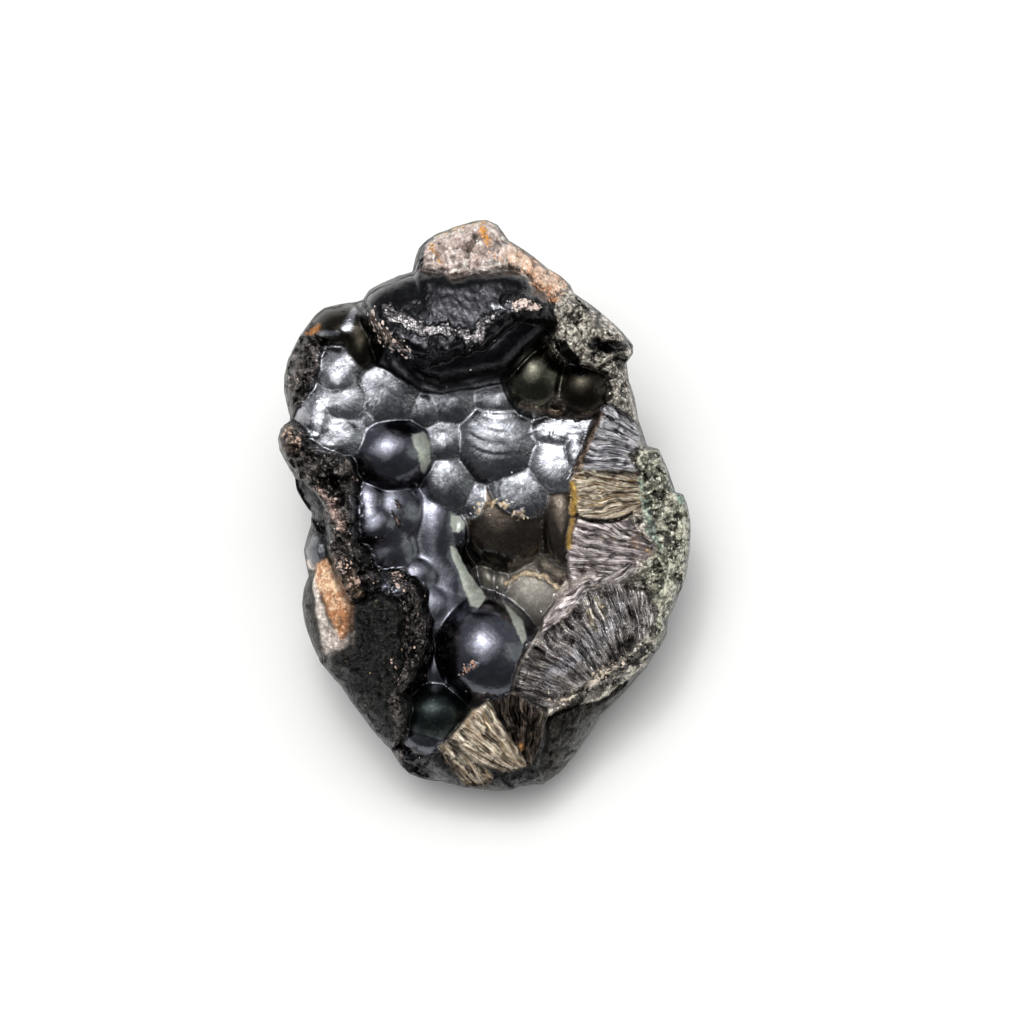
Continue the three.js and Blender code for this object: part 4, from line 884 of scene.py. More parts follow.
# dark, light and speck colours, then metallic, roughness, grain, fibre and specks
FINISHES = {
    # glossy skins of the domes
    "satin": ("#65666a", "#86878c", "#d9d5cd", 1.0, 0.2, 0.02, 0.09, 0.004),
    # painted highlight: the pale colour laid along the creases
    "crease": ("#b9bbbf", "#b9bbbf", "#d9d5cd", 1.0, 0.2, 0.02, 0.09, 0.004),
    "burnish": ("#8d8e93", "#bbbbc1", "#d9d5cd", 1.0, 0.2, 0.02, 0.08, 0.004),
    "gloss": ("#54555c", "#66666e", "#c8b8ae", 1.0, 0.16, 0.02, 0.01, 0.008),
    "brown": ("#4c453e", "#665d54", "#a8957c", 1.0, 0.21, 0.02, 0.03, 0.006),
    "olive": ("#3f3e37", "#57564c", "#a8957c", 1.0, 0.2, 0.02, 0.03, 0.006),
    "shade": ("#26231e", "#333029", "#a8957c", 1.0, 0.27, 0.01, 0.01, 0.004),
    "green": ("#24292a", "#363d38", "#6f7a70", 1.0, 0.38, 0.01, 0.0, 0.01),
    "dusty": ("#55514b", "#6c6861", "#e3dfd8", 0.7, 0.42, 0.02, 0.0, 0.02),
    "film": ("#544d44", "#8d8272", "#d3c7b2", 0.3, 0.55, 0.1, 0.0, 0.05),
    # painted reflection: the pale grey-green colour of the reflections painted on the domes
    "sage_reflection": ("#a2a79d", "#bfc3b8", "#ffffff", 0.3, 0.25, 0.02, 0.0, 0.0),
    # black glassy skin and granular crusts
    "jet": ("#222224", "#343437", "#d8d0c8", 1.0, 0.15, 0.04, 0.0, 0.012),
    "glaze": ("#29292b", "#4c4b4e", "#f0e4dc", 1.0, 0.14, 0.5, 0.0, 0.02),
    # painted highlight: the pale rough colour of the bands along the ledge's nose
    "ledge": ("#4a4749", "#e6dfdf", "#ffffff", 1.0, 0.15, 0.7, 0.0, 0.08),
    "peak": ("#b59e94", "#fff4ec", "#ffffff", 0.15, 0.33, 0.9, 0.1, 0.05),
    "earth": ("#c49e84", "#fde8d8", "#fbead6", 0.1, 0.55, 0.8, 0.0, 0.08),
    "crust": ("#57514a", "#e4dccd", "#fbf4e8", 0.55, 0.2, 1.0, 0.0, 0.16),
    "moss": ("#57564a", "#dcd9c4", "#f8f4e4", 0.5, 0.22, 1.0, 0.0, 0.16),
    "ridge": ("#131211", "#736c68", "#e6cabc", 0.95, 0.14, 0.8, 0.0, 0.05),
    "soot": ("#0b0a09", "#211f1c", "#b39a66", 0.4, 0.36, 0.9, 0.0, 0.02),
    "flank": ("#191714", "#4d4a43", "#8a8172", 0.6, 0.36, 0.6, 0.3, 0.01),
    "slick": ("#1a1917", "#3d3b35", "#8a8172", 0.9, 0.3, 0.2, 0.3, 0.01),
    "matrix": ("#3f342b", "#8d7966", "#c9b49a", 0.1, 0.7, 0.7, 0.1, 0.03),
    # earthy oxides and dust
    "ochre": ("#b07448", "#ffdcb8", "#fbe6c8", 0.0, 0.85, 0.5, 0.1, 0.0),
    "chalk": ("#9a8e86", "#fbeee2", "#ffffff", 0.0, 0.5, 0.3, 0.1, 0.0),
    "rust": ("#9a6028", "#e3a85f", "#f0c98c", 0.0, 0.8, 0.5, 0.0, 0.0),
    "sulphur": ("#a07c35", "#d9b865", "#f0dca0", 0.0, 0.7, 0.2, 0.0, 0.0),
    "tan": ("#9a8468", "#e0caa8", "#f0e2c8", 0.1, 0.65, 0.5, 0.0, 0.0),
    "umber": ("#33261d", "#8c7764", "#d9b9a4", 0.4, 0.38, 0.9, 0.1, 0.03),
    "rosy": ("#5e4a44", "#d8baaf", "#fbe9e4", 0.5, 0.3, 0.9, 0.0, 0.1),
    "verdigris": ("#5f7a6d", "#b9d2c2", "#e3f0e6", 0.0, 0.55, 0.7, 0.0, 0.0),
    # splintery broken faces
    "straw": ("#86705a", "#fff0d8", "#f2c88a", 0.3, 0.22, 0.35, 1.0, 0.18),
    "bronze": ("#75686a", "#fbeeec", "#f6dcc4", 0.4, 0.22, 0.35, 1.0, 0.14),
    "silver": ("#68656b", "#fbf8fd", "#fdf0f0", 0.6, 0.17, 0.35, 1.0, 0.16),
    "fan": ("#504845", "#d2cbc9", "#eadfca", 0.85, 0.17, 0.3, 0.85, 0.04),
    "coal": ("#161210", "#6a5d53", "#d3bf9f", 0.85, 0.2, 0.35, 1.0, 0.04),
}


def finish_row(name):
    """Nine numbers of colour, in linear light, and the five plain numbers."""
    dark, light, speck, *rest = FINISHES[name]
    return np.array([*linear(dark), *linear(light), *linear(speck), *rest])


# where the numbers stand in a row
TONES, GRAIN, FIBRE, SPECKS = slice(0, 6), 11, 12, 13
PLAIN = {"metal": 9, "rough": 10, "grain": GRAIN, "fibre": FIBRE, "speck": SPECKS}
print("finishes:", len(FINISHES))

# %% [markdown]
# ## From zones to places
# Each place of the grid takes its zone's row, softened over the neighbouring places so that no
# border is a staircase. From here on every change is a mix towards another row of the table.

# %% Finish at each place
def soften(field, times=1):
    """Averages each place of the face grid with its neighbours, weights 1, 2 and 1 each way."""
    for axis in (0, 1) * times:
        before, after = np.roll(field, 1, axis), np.roll(field, -1, axis)
        field = 0.25 * before + 0.5 * field + 0.25 * after
    return field


def mixed(finish, name, share):
    """The finish moved towards a row of the table by a share from 0 to 1."""
    return finish + (finish_row(name) - finish) * share[..., None]


finish = soften(np.array([finish_row(name) for name in ZONES])[face_zone])
print("finish:", finish.shape)

# %% [markdown]
# ## Stains and strokes
# Colour changes that don't follow a shape are brushed on: a stroke is a short path with a width,
# and noise frays its edge. Rust, dust and black glassy skin all sit on the surface in this way,
# and so do a few painted highlights and painted shadows.

# %% Strokes of stains, skins, painted highlights and painted shadows
# finish, half width in mm, strength, fray in mm, path
STROKES = [
    # the ledge: a black skin; painted highlights lie as a pale rough band along its nose and its right
    # crest, and as a bright smooth patch on that crest
    ("ledge", 1.5, 1, 2.2, [
        (-24.5, 50), (-21, 47.8), (-16.5, 46), (-11.5, 45.6), (-6, 44.9), (-2.1, 43.6)]),
    ("ledge", 1.1, 0.9, 1.6, [(-1, 46.5), (3, 49.8), (8, 51.6), (13.4, 51.2)]),
    ("burnish", 0.8, 0.9, 0.8, [(2.6, 51.2), (8, 51.4)]),
    ("umber", 1.0, 0.7, 1.8, [(-29.3, 48.3), (-26.2, 44.7), (-22.5, 41.6)]),
    ("rosy", 1.2, 0.6, 1.4, [(8.5, 51.9), (13.2, 51.4)]),
    ("chalk", 0.3, 0.75, 0.2, [
        (-23.1, 61), (-18.6, 61.8), (-13.5, 62), (-10.4, 60.7), (-8.5, 58.9), (-5.7, 60.5), (-1.3, 61.3),
        (8.3, 61), (14, 57.1), (16.6, 54.3)]),
    # the peak and the slope beside it
    ("jet", 1.6, 1, 0.6, [(-17.6, 62.8), (-16.8, 67.5), (-14.8, 70.1)]),
    ("tan", 0.9, 0.9, 0.8, [(-12.4, 70.8), (-6.5, 73.4), (0, 74.7)]),
    ("rust", 0.5, 0.5, 2.0, [(-13.7, 67.5), (-11.4, 63.3)]),
    ("rust", 0.4, 0.5, 2.0, [(-1.3, 72.6), (0.8, 67.7)]),
    ("umber", 1.0, 0.8, 1.2, [(-2.8, 69.5), (-4.4, 66.4)]),
    ("rust", 0.8, 0.35, 3.0, [(11.1, 62.3), (15.5, 56.9)]),
    ("rust", 0.6, 0.4, 2.0, [(16.3, 56.6), (18.1, 54)]),
    # the crust on the upper right: painted shadow, black strokes in the shaded gaps under its overhang
    ("jet", 1.3, 1, 0.8, [(19.4, 41.8), (22, 38.5), (24.6, 34.8)]),
    ("jet", 1.3, 0.9, 1.2, [(27.7, 42.1), (31.9, 41.1), (36.5, 41.8)]),
    # stains in the hollow
    ("umber", 0.8, 0.6, 1.0, [(9.1, 26.3), (15.5, 24.5), (23.3, 22.9), (29.8, 24.5)]),
    ("tan", 0.3, 0.8, 1.3, [(-1.8, -1.4), (0.3, 0.6), (3.1, 1.7)]),
    ("tan", 0.3, 0.9, 1.1, [(4.9, -0.1), (7.5, 1.2)]),
    ("tan", 0.3, 0.8, 1.1, [(7, -2.5), (10.1, -1.2), (8.8, -3.8)]),
    ("sulphur", 0.8, 1, 0.4, [(22.5, 6.1), (23.3, 2.5), (22.8, -1.7)]),
    ("sulphur", 0.6, 1, 0.3, [(22.8, -3.5), (22, -7.4), (21.8, -10.7)]),
    ("umber", 0.9, 1, 0.4, [(29.8, 24.2), (26.7, 16.7), (24.1, 10)]),
    ("tan", 0.6, 0.8, 0.8, [(5.4, -20.1), (10.4, -17.2), (15.5, -18.5), (19.9, -22.4)]),
    ("film", 1.8, 0.5, 2.0, [(7.8, -15.4), (15.5, -13.9), (19.9, -17)]),
    ("umber", 0.6, 0.5, 1.2, [(-5.5, -42.8), (-2, -41)]),
    ("rosy", 0.3, 0.9, 0.7, [(-24.1, -1.4), (-22.3, -4.8)]),
    ("rosy", 0.3, 0.9, 0.6, [(-23.1, 1.7), (-22.3, -0.1)]),
    # painted highlight: a bright patch and a gleam on the dark domes left of the ledge
    ("burnish", 1.0, 0.9, 0.8, [(-36, 46), (-34, 51)]),
    ("burnish", 0.6, 0.8, 0.5, [(-42.7, 45), (-38.1, 45)]),
    # the broken band on the right
    # painted highlight: a pale silvery band where the curved lower fan catches the light
    ("silver", 1.6, 0.7, 2.2, [(16.5, -44.5), (21, -41), (25, -37)]),
    ("silver", 2.2, 0.45, 3.0, [(26.5, -36.5), (31, -33), (34, -26)]),
    ("coal", 1.5, 0.5, 2.0, [(11.5, -44), (14.5, -38)]),
    ("straw", 0.5, 0.7, 1.2, [(26.2, -24.2), (28.2, -31)]),
    ("straw", 0.4, 0.6, 1.2, [(29.3, -24.2), (30.6, -28.9)]),
    ("rust", 0.4, 0.3, 2.4, [(38.1, -8.2), (40.7, -10.7), (43, -12)]),
    ("ridge", 1.2, 0.9, 1.6, [(15.5, -56.6), (23.3, -52.2), (29.8, -47.5), (35.5, -42.9), (40.7, -38.5)]),
    ("chalk", 0.3, 0.8, 0.3, [(22.5, -17.7), (18.1, -25.5), (13, -34.6), (9.1, -41.1), (7.3, -47.5)]),
    ("chalk", 1.0, 0.7, 1.0, [(19.4, -23.7), (23.3, -19.8), (27.7, -17.5)]),
    ("verdigris", 1.0, 0.9, 1.0, [(49.5, 4.8), (51.5, 1.7)]),
    ("verdigris", 0.8, 0.6, 1.4, [(40.4, 7.4), (41.7, 0.4), (43.3, -6.1), (45.6, -10.5)]),
    # the left ridge and flank
    ("umber", 2.3, 0.7, 2.0, [(-52.1, 19.3), (-50, 15.2)]),
    ("rosy", 0.8, 0.8, 1.6, [(-42.2, 3.8), (-39.1, 0.4), (-37, -5.6)]),
    ("umber", 1.6, 0.9, 1.4, [(-35, -17.7), (-32.9, -22.1)]),
    ("rust", 0.8, 0.8, 1.0, [(-46.1, 45.2), (-43.8, 46.5)]),
    ("chalk", 0.8, 1, 0.5, [(-46.4, -14.6), (-44.8, -15.9)]),
    ("jet", 2.1, 0.8, 1.5, [(-46.6, 4.3), (-43.3, -1.4), (-41.2, -7.6)]),
    # the bottom end
    ("jet", 2.6, 0.9, 1.5, [(-19.4, -65.1), (-15.5, -69.5), (-11.7, -72.1)]),
    ("rust", 0.6, 1, 0.5, [(9.3, -62.3), (9.8, -63.1)]),
    ("ridge", 1.6, 0.9, 1.4, [(-23.6, -50.6), (-22, -57.9), (-23.1, -64.6)]),
]
print("strokes:", len(STROKES))

# %% Brushing the strokes on
FRAY_LENGTH = 1.6
BRUSH_EDGE = 0.35


def stroke_share(half_width, fray, path):
    """1 within the half width of the path and 0 beyond it, with the edge moved by noise."""
    ends = zip(path, path[1:])
    distance = np.minimum.reduce([segment_distance(face_u, face_v, a, b) for a, b in ends])
    wobble = fray * fractal(face_u / FRAY_LENGTH + 3, face_v / FRAY_LENGTH, 7.7, 3)
    return smoothstep(BRUSH_EDGE, -BRUSH_EDGE, distance - half_width + wobble)


for name, half_width, strength, fray, path in STROKES:
    finish = mixed(finish, name, strength * stroke_share(half_width, fray, path))
print("mean roughness after the strokes:", round(finish[..., PLAIN["rough"]].mean(), 3))

# %% [markdown]
# ## Flecks
# Some stains take single grains or single fibres and leave their neighbours clean. A fleck
# changes only the colour of the specks along its path, and how many of the grains are specks.

# %% Flecks
# colour, share of the grains, half width, fray, path
FLECKS = [
    # the peak and its slope
    ("#e0a352", 0.5, 1.2, 1.8, [(-14.5, 68), (-12, 63.5)]),
    ("#ecc08a", 0.5, 1.0, 1.5, [(-11, 71.5), (-3, 73.5)]),
    ("#e09a3e", 0.55, 0.8, 1.4, [(-1, 73.5), (1.3, 68)]),
    ("#dc9460", 0.6, 1.8, 2.5, [(8, 64.5), (12, 61.5), (17.5, 54.5)]),
    ("#ecc9ae", 0.4, 2.0, 2.5, [(3, 66), (10, 63), (19, 56)]),
    # the ledge
    ("#ead4c8", 0.3, 1.8, 2.0, [(-29, 49), (-25, 43), (-20, 40)]),
    ("#f4dcd0", 0.5, 1.4, 1.2, [(8.5, 51.9), (13.2, 51.4)]),
    # the broken band
    ("#e2bd86", 0.3, 3.0, 2.5, [(29, 6.5), (33, 3.5), (38, 2)]),
    ("#e9c9a4", 0.3, 1.5, 1.5, [(24.5, 9), (30, 7.5)]),
    ("#e6c48e", 0.5, 1.5, 1.5, [(38.5, -8.5), (42, -11.5)]),
    ("#dccb92", 0.3, 1.1, 1.4, [(26.2, -23.5), (28.6, -31.5)]),
    ("#dccb92", 0.25, 0.9, 1.4, [(29.5, -24), (31, -29)]),
    ("#f0dcc4", 0.4, 1.5, 1.5, [(17, -50.5), (23.5, -47.5), (30.3, -43.8), (36, -38.5)]),
    # the ridge on the left
    ("#e6c6b6", 0.3, 1.2, 2.0, [(-44, 5), (-40.5, 1), (-38, -6)]),
    ("#e0bda8", 0.25, 2.0, 2.0, [(-52, 19.5), (-50, 16.5)]),
    ("#e2c2b0", 0.3, 1.8, 2.0, [(-36.5, -15), (-33.5, -19)]),
    ("#e6c8ba", 0.3, 1.0, 1.5, [(-23.5, -17.5), (-21.5, -21.5)]),
    ("#e6c8ba", 0.3, 1.0, 1.5, [(-24, -40), (-23, -45)]),
    # tan flecks in the middle of the hollow
    ("#cdb795", 0.45, 1.1, 1.8, [(-1.5, -0.5), (2.5, 1.2), (6, 0.3)]),
    ("#cdb795", 0.4, 0.9, 1.8, [(7.5, -1.6), (10.5, -3.2)]),
    # rust on the largest dome
    ("#b98f78", 0.5, 1.4, 2.2, [(-6, -43), (-3, -41)]),
]
fleck_columns = [6, 7, 8, SPECKS]
for colour, share_of_grains, half_width, fray, path in FLECKS:
    share = stroke_share(half_width, fray, path)[..., None]
    fleck = np.array([*linear(colour), share_of_grains])
    finish[..., fleck_columns] += (fleck - finish[..., fleck_columns]) * share
print("flecks:", len(FLECKS))

# %% [markdown]
# ## Painted reflections
# A few pale grey-green reflections are painted on the glossy domes, with crisp edges. They have no
# thickness, so they are outlines filled with colour.

# %% Painted reflections with crisp edges
# strength and outline
PAINTED_REFLECTIONS = [
    (0.9, [
        (-19, 18.9), (-15.8, 19.6), (-14.2, 16.4), (-14.2, 12), (-15.8, 8.4), (-16.8, 9.4), (-17.3, 14.1),
        (-18.7, 16.2)]),
    (0.9, [(-9.1, -1.7), (-6.2, -2.5), (-5.2, -4.8), (-6.7, -6.9), (-8.5, -6.6)]),
    (0.95, [
        (-9.3, -10), (-7.5, -10.7), (-6, -14.4), (-3.4, -18.5), (-1.3, -21.6), (0.5, -23.7),
        (-1.8, -26.8), (-3.6, -25.8), (-5.7, -21.6), (-7.3, -16.4), (-8.8, -12.8)]),
    (0.85, [
        (4.7, -24.7), (7.5, -27.3), (10.1, -29.7), (11.1, -34.6), (9.6, -35.9), (8.3, -32.5),
        (6.5, -28.9)]),
]
REFLECTION_WANDER, REFLECTION_WANDER_LENGTH = 0.4, 2.2
REFLECTION_EDGE = 0.2

wobble = REFLECTION_WANDER * fractal(face_u / REFLECTION_WANDER_LENGTH, face_v / REFLECTION_WANDER_LENGTH, 8.8, 2)
# painted reflection: each outline is filled with the pale sage colour
for strength, outline in PAINTED_REFLECTIONS:
    distance = inside_distance(face_u, face_v, outline) + wobble
    finish = mixed(finish, "sage_reflection", strength * smoothstep(-REFLECTION_EDGE, REFLECTION_EDGE, distance))
print("painted_reflections:", len(PAINTED_REFLECTIONS))

# %% [markdown]
# ## Painted shade in pits and painted light on ridges
# The pits of rough parts get painted shade and their ridges painted light. So the colours are
# darkened or lightened by how far a place stands above its neighbours, much more in the pits
# than on the ridges.

# %% Painted shade in the pits
PIT_SHADE, RIDGE_LIGHT = 1.7, 0.35
STANDING_REACH = 0.45

average = soften(face_w, 8)
standing = np.clip((face_w - average) / STANDING_REACH, -1, 1)
standing *= np.clip(finish[..., GRAIN] + 0.5 * finish[..., FIBRE], 0, 1)
# painted shade in the pits and painted light on the ridges, from the height above the neighbours
finish[..., TONES] *= np.exp(np.where(standing < 0, PIT_SHADE, RIDGE_LIGHT) * standing)[..., None]
print("share of the face in shaded pits:", round((standing < -0.2).mean(), 2))

# %% [markdown]
# ## Steep sides
# The crusts and the peak stop where the stone's sides begin, and the sides are duller. A place is
# a side where its normal lies nearly flat in the drawing and it is close to the rim.

# %% Steep sides near the rim
SIDES = 0.9
FLAT_UP_TO, SQUARE_FROM = 0.15, 0.28
SIDE_FROM, SIDE_BY = 0.82, 0.9
SIDE_FRAY, SIDE_FRAY_LENGTH = 0.12, 3

across_rows, along_rows = (
    np.gradient(np.stack([face_u, face_v, face_w], -1), axis=axis) for axis in (1, 0)
)
square = np.cross(across_rows, along_rows)
facing = soften(square[..., 2] / np.linalg.norm(square, axis=-1), 2)
places = (x / SIDE_FRAY_LENGTH for x in (face_u, face_v, face_w))
facing = facing + SIDE_FRAY * fractal(*places, 2)
side = SIDES * smoothstep(SQUARE_FROM, FLAT_UP_TO, facing)
side = side * smoothstep(SIDE_FROM, SIDE_BY, face_edge)
finish = mixed(finish, "flank", side)
print("share of the face that is a steep side:", round((side > 0.5).mean(), 3))

# %% [markdown]
# ## Painted highlight in the creases
# A pale colour lines the creases between the duller domes. It is a painted highlight for the thin bright
# lines that they show. The gap between the highest dome and the next one tells where that is.

# %% Painted crease highlight
CREASE_HIGHLIGHT = 0.45
CREASE_WIDTH = 0.2

# painted highlight: pale colour along the creases of these domes, where the two highest domes are close
highlighted = np.isin(face_zone, [ZONES.index(name) for name in ("satin", "burnish", "brown", "dusty")])
crease_highlight_share = CREASE_HIGHLIGHT * highlighted * smoothstep(CREASE_WIDTH, 0.0, face_gap)
finish = mixed(finish, "crease", crease_highlight_share)
print("dusted share of the face:", round((crease_highlight_share > 0.1).mean(), 3))

# %% [markdown]
# ## The finish of the flanks
# Each point of a flank starts with the finish of the border point above it. Down the flank the
# rock turns to dull ore and then to the browner matrix that the ore grew on.

# %% Flanks and matrix
# where each begins and is complete, as a share of the way down
DULL = (0.05, 0.35)
MATRIX = (0.5, 0.8)
RAGGED, RAGGED_LENGTH = 0.22, 9

finish = finish.reshape(-1, finish.shape[-1])[sources]
below = shares > 0
lowered = shares + RAGGED * fractal(*(points.T / RAGGED_LENGTH), 3) * below
finish = mixed(finish, "flank", smoothstep(*DULL, lowered))
finish = mixed(finish, "matrix", smoothstep(*MATRIX, lowered))
strand = np.stack([across.ravel(), np.zeros(across.size), along.ravel()], 1)[sources]
strand = np.where(below[:, None], np.hstack([points[sources, :2], points[:, 2:]]), strand)
print("points below the face:", below.sum())

# %% [markdown]
# ## The mesh
# The whole stone is one piece, because it grew as one. Its finish travels with it as attributes
# of its points, and the strand attribute holds each place across and along the fibres.

# %% The specimen
def make_mesh(name, coordinates, triangles):
    """A mesh object from arrays: points in metres and triangles of point numbers."""
    mesh = bpy.data.meshes.new(name)
    mesh.from_pydata(coordinates, [], triangles.tolist())
    mesh.update()
    mesh.shade_smooth()
    piece = bpy.data.objects.new(name, mesh)
    bpy.context.collection.objects.link(piece)
    return piece


def add_attribute(piece, name, kind, values):
    """One value per point, as a number, a vector or a colour."""
    attribute = piece.data.attributes.new(name, kind, "POINT")
    field = {"FLOAT": "value", "FLOAT_VECTOR": "vector", "FLOAT_COLOR": "color"}[kind]
    attribute.data.foreach_set(field, np.ascontiguousarray(values, np.float32).ravel())


specimen = make_mesh("hematite_surface", to_world(points), triangles)
opaque = np.ones((len(points), 1))
for column, name in ((0, "dark_tone"), (3, "light_tone"), (6, "speck_tone")):
    add_attribute(specimen, name, "FLOAT_COLOR", np.hstack([finish[:, column : column + 3], opaque]))
for name, column in PLAIN.items():
    add_attribute(specimen, name, "FLOAT", finish[:, column])
add_attribute(specimen, "strand", "FLOAT_VECTOR", strand)
print("specimen:", len(specimen.data.polygons), "triangles")

# %% [markdown]
# ## Kidney ore as a material
# The ore is iron oxide: a dark mirror where it grew freely, a silky one across broken fibres, and
# a dull powder where it weathered. One material covers them all, because its settings come from
# the attributes. One small function adds every node.

# %% A function that adds a node
def add(tree, kind, inputs, **settings):
    """Adds a node with its settings; an input is a plain value or the socket that feeds it."""
    new = tree.nodes.new("ShaderNode" + kind)
    for name, value in settings.items():
        setattr(new, name, value)
    for name, value in inputs.items():
        if isinstance(value, bpy.types.NodeSocket):
            tree.links.new(value, new.inputs[name])
        else:
            new.inputs[name].default_value = value
    return new.outputs


def new_material(name):
    """An empty material with its node tree and its Principled shader."""
    material = bpy.data.materials.new(name)
    material.use_nodes = True
    tree = material.node_tree
    return material, tree, tree.nodes["Principled BSDF"]


material, ore, shader = new_material("kidney ore, grown gloss and broken fibre")
seen = {name: add(ore, "Attribute", {}, attribute_name=name)["Fac"] for name in PLAIN}
for name in ("dark_tone", "light_tone", "speck_tone"):
    seen[name] = add(ore, "Attribute", {}, attribute_name=name)["Color"]
seen["strand"] = add(ore, "Attribute", {}, attribute_name="strand")["Vector"]
print("attributes read by the material:", ", ".join(seen))

# %% [markdown]
# ## Grain
# Crusts of ore are packed grains of about a millimetre. A cell pattern draws them, each with its
# own random numbers, and noise of three and nine millimetres groups them in clumps and patches.

# %% Grain pattern
GRAIN_SIZE, CLUMP_SIZE, PATCH_SIZE = 0.8, 3.0, 9.0


def pitch(millimetres):
    """Scale of a pattern on Object coordinates, in metres, for features this large."""
    return 1000 / millimetres


def weighted_sum(tree, start, *weighted):
    """Start, plus each field times its weight, as a chain of multiply-add nodes."""
    for field, weight in weighted:
        start = add(tree, "Math", {0: field, 1: weight, 2: start}, operation="MULTIPLY_ADD")[0]
    return start


place = add(ore, "TexCoord", {})["Object"]
clumps = add(ore, "TexNoise", {"Vector": place, "Scale": pitch(CLUMP_SIZE), "Detail": 6.0,
                               "Roughness": 0.62})["Fac"]
patches = add(ore, "TexNoise", {"Vector": place, "Scale": pitch(PATCH_SIZE), "Detail": 2.0})["Fac"]
grains = add(ore, "TexVoronoi", {"Vector": place, "Scale": pitch(GRAIN_SIZE)})
grain_random = add(ore, "SeparateColor", {"Color": grains["Color"]})
grain_lift = add(ore, "Math", {0: 0.6, 1: grains["Distance"]}, operation="SUBTRACT")[0]
granular = weighted_sum(
    ore, -0.25, (clumps, 0.7), (grain_random[0], 0.2), (grain_lift, 0.2), (patches, 0.5))
grain_mix = add(ore, "MapRange", {"Value": granular, "From Min": 0.40, "From Max": 0.64})[0]
print("grains of", GRAIN_SIZE, "mm need a scale of", pitch(GRAIN_SIZE))

# %% [markdown]
# ## Fibre
# The real fibres are finer than a tenth of a millimetre, too fine to show. They are drawn as
# bundles a third of a millimetre wide, and gathered in sheaves of about two millimetres. The
# patterns read the strand attribute, in mm, so they follow each break's fan.

# %% Fibre pattern
BUNDLE = (0.32, 0.32, 3.5)
SINGLE = (0.36, 0.36, 3.6)
SHEAF = (2.2, 2.2, 5.0)


def strands(size):
    """The strand places divided by the size of one feature, so that it is one unit large."""
    scale = tuple(1 / length for length in size)
    return add(ore, "Mapping", {"Vector": seen["strand"], "Scale": scale})[0]


fibres = add(ore, "TexNoise", {"Vector": strands(BUNDLE), "Scale": 1.0, "Detail": 4.0,
                               "Roughness": 0.65})["Fac"]
fibre_cells = add(ore, "TexVoronoi", {"Vector": strands(SINGLE), "Scale": 1.0})["Color"]
fibre_random = add(ore, "SeparateColor", {"Color": fibre_cells})
sheaves = add(ore, "TexNoise", {"Vector": strands(SHEAF), "Scale": 1.0, "Detail": 2.0})["Fac"]
fibrous = weighted_sum(ore, 0.0, (fibres, 0.4), (sheaves, 0.4), (fibre_random[0], 0.2))
fibre_mix = add(ore, "MapRange", {"Value": fibrous, "From Min": 0.42, "From Max": 0.58})[0]
pattern = add(ore, "Mix", {0: seen["fibre"], 2: grain_mix, 3: fibre_mix}, data_type="FLOAT")[0]
tone = add(ore, "Mix", {0: pattern, 6: seen["dark_tone"], 7: seen["light_tone"]},
           data_type="RGBA")[2]
print("bundles of", BUNDLE[0], "mm by", BUNDLE[2], "mm")

# %% [markdown]
# ## Specks
# Pale specks are single grains of dust or quartz on granular parts, and single pale fibres on the
# breaks. Each cell's random numbers decide whether it is a speck, and a grain's speck fills only
# part of its cell. Specks aren't metallic, so they stay pale where the ore around them is dark.

# %% Specks
FIBRE_THRESHOLD = 0.4

fill = weighted_sum(ore, 0.3, (seen["speck"], 6.0))
fill = add(ore, "Math", {0: grain_random[1], 1: fill}, operation="MULTIPLY")[0]
filled = add(ore, "Math", {0: grains["Distance"], 1: fill}, operation="LESS_THAN")[0]
granular_share = weighted_sum(ore, 1.0, (seen["fibre"], -1.0))
granular_share = add(ore, "Math", {0: seen["speck"], 1: granular_share}, operation="MULTIPLY")[0]
picked = add(ore, "Math", {0: grain_random[2], 1: granular_share}, operation="LESS_THAN")[0]
grain_specks = add(ore, "Math", {0: filled, 1: picked}, operation="MULTIPLY")[0]
fibrous_share = weighted_sum(ore, -FIBRE_THRESHOLD, (seen["fibre"], 1.0))
fibrous_share = add(ore, "Math", {0: seen["speck"], 1: fibrous_share}, operation="MULTIPLY")[0]
fibre_specks = add(ore, "Math", {0: fibre_random[2], 1: fibrous_share}, operation="LESS_THAN")[0]
specks = add(ore, "Math", {0: grain_specks, 1: fibre_specks}, operation="MAXIMUM")[0]
colour = add(ore, "Mix", {0: specks, 6: tone, 7: seen["speck_tone"]}, data_type="RGBA")[2]
bare = add(ore, "Math", {0: 1.0, 1: specks}, operation="SUBTRACT")[0]
metal = add(ore, "Math", {0: seen["metal"], 1: bare}, operation="MULTIPLY")[0]
print("nodes so far:", len(ore.nodes))

# %% [markdown]
# ## Facets
# Broken ore glitters because each grain and each fibre is a small mirror that faces its own way.
# A bump gives the fine relief. Then each cell's random numbers tip the normal, a little for
# grains, more for fibres, and a little again for facets of a few millimetres.

# %% Bump and facets
FACET_SIZE = 2.4
GRAIN_TILT, FIBRE_TILT, FACET_TILT = 0.9, 1.3, 0.5
MILLIMETRE = 0.001

